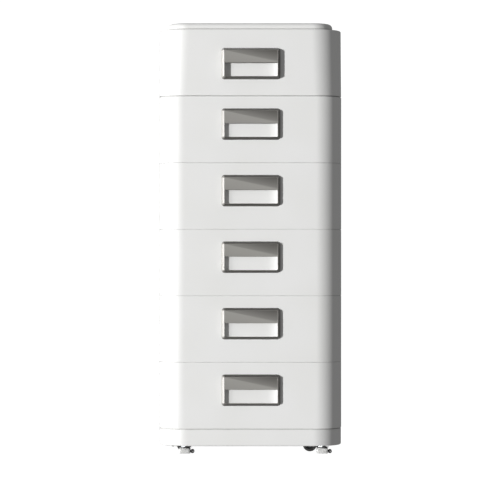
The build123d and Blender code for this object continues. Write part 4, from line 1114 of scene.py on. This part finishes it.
def add_sun(name, energy, spread, azimuth):
    """A lamp as far off as the sun, at its azimuth to the left of the camera's direction."""
    light = bpy.data.lights.new(name, "SUN")
    light.energy = energy
    light.angle = math.radians(spread)
    lamp = bpy.data.objects.new(name, light)
    lamp.rotation_euler = (math.pi / 2 - math.radians(LIGHT_ELEVATION), 0, -math.radians(azimuth))
    bpy.context.scene.collection.objects.link(lamp)

def studio_white(name, colour, glow):
    """Plain pale paint of the studio, lit evenly by a glow of its own and a little by the lamps."""
    material, _, shader = start_material(name, colour, 0.9)
    shader.inputs["Emission Color"].default_value = linear("#FFFFFF")
    shader.inputs["Emission Strength"].default_value = glow
    return material


class BATTERYTOWER_OT_studio(bpy.types.Operator):
    """Pale floor, white surround, key and edge lights from the left, even fill and the camera"""

    bl_idname = "battery_tower.studio"
    bl_label = "Studio"

    def execute(self, context):
        scene = context.scene
        steps = np.linspace(0, 2 * math.pi, ROOM_POINTS, endpoint=False)
        circle = np.stack([np.cos(steps), np.sin(steps)], -1)

        def disc_ring(radius, level):
            return np.column_stack([radius * circle, np.full(ROOM_POINTS, level)])

        floor = np.array([disc_ring(radius, 0) for radius in (0.4, 2, 6, ROOM_RADIUS)])
        faces = grid_faces(4, ROOM_POINTS, True)[:, ::-1].tolist() + [list(range(ROOM_POINTS))]
        floor = new_piece("studio_floor", floor, faces,
                          studio_white("pale_floor_paint", "#B0B0B0", 0.98), 35)
        angles = np.radians(np.linspace(0, 84, 15))
        dome = [disc_ring(ROOM_RADIUS * math.cos(a), ROOM_RADIUS * math.sin(a)) for a in angles]
        last = list(range(14 * ROOM_POINTS, 15 * ROOM_POINTS))
        faces = grid_faces(15, ROOM_POINTS, True)[:, ::-1].tolist() + [last[::-1]]
        dome = new_piece("studio_surround", np.array(dome), faces,
                         studio_white("white_surround_paint", "#000000", 1.05), 35)
        for part in (floor, dome):
            part.visible_diffuse = False
            part.visible_glossy = False
            part.visible_shadow = False
        add_sun("key_light", KEY_ENERGY, KEY_SPREAD, KEY_AZIMUTH)
        add_sun("edge_light", EDGE_ENERGY, EDGE_SPREAD, EDGE_AZIMUTH)
        world = bpy.data.worlds.new("studio_fill")
        world.use_nodes = True
        fill = world.node_tree.nodes["Background"]
        fill.inputs["Color"].default_value = (1, 1, 1, 1)
        fill.inputs["Strength"].default_value = FILL_STRENGTH
        scene.world = world
        scene.view_settings.view_transform = "Standard"
        camera = bpy.data.cameras.new("front_camera")
        camera.sensor_width = 36
        camera.lens = CAMERA_LENS
        camera.clip_end = 60
        view = bpy.data.objects.new("front_camera", camera)
        view.location = (CAMERA_SHIFT, CAD_BOX[0].y - CAMERA_DISTANCE, CAMERA_HEIGHT)
        view.rotation_euler = (math.pi / 2, 0, 0)
        scene.collection.objects.link(view)
        scene.camera = view
        return {"FINISHED"}


# ---------------------------------------------------------------- panel and start

PIECE_OPERATORS = (
    BATTERYTOWER_OT_battery_shells,
    BATTERYTOWER_OT_control_shell,
    BATTERYTOWER_OT_plinth_shell,
    BATTERYTOWER_OT_top_plate,
    BATTERYTOWER_OT_grips,
    BATTERYTOWER_OT_feet,
    BATTERYTOWER_OT_casters,
    BATTERYTOWER_OT_connection_bay,
    BATTERYTOWER_OT_inner_parts,
    BATTERYTOWER_OT_studio,
)


class BATTERYTOWER_PT_panel(bpy.types.Panel):
    """Lists the tower's operators, then its sizes and colours"""

    bl_idname = "BATTERYTOWER_PT_panel"
    bl_label = "Battery Tower"
    bl_space_type = "VIEW_3D"
    bl_region_type = "UI"
    bl_category = "Battery Tower"

    def draw(self, context):
        for operator in PIECE_OPERATORS:
            self.layout.operator(operator.bl_idname)
        for group in settings():
            box = self.layout.box()
            for name in group.bl_rna.properties.keys():
                if name not in ("rna_type", "name"):
                    box.prop(group, name)


CLASSES = (BatteryTowerSizes, BatteryTowerColours, *PIECE_OPERATORS, BATTERYTOWER_PT_panel)


def register():
    """Registers every class and hangs the settings on the scene."""
    for kind in CLASSES:
        bpy.utils.register_class(kind)
    bpy.types.Scene.battery_tower_sizes = bpy.props.PointerProperty(type=BatteryTowerSizes)
    bpy.types.Scene.battery_tower_colours = bpy.props.PointerProperty(type=BatteryTowerColours)


def unregister():
    """Takes the settings off the scene and unregisters every class."""
    del bpy.types.Scene.battery_tower_colours
    del bpy.types.Scene.battery_tower_sizes
    for kind in reversed(CLASSES):
        bpy.utils.unregister_class(kind)


def main():
    register()
    for operator in PIECE_OPERATORS:
        group, name = operator.bl_idname.split(".")
        getattr(getattr(bpy.ops, group), name)()
    bpy.context.view_layer.update()


if __name__ == "__main__":
    main()
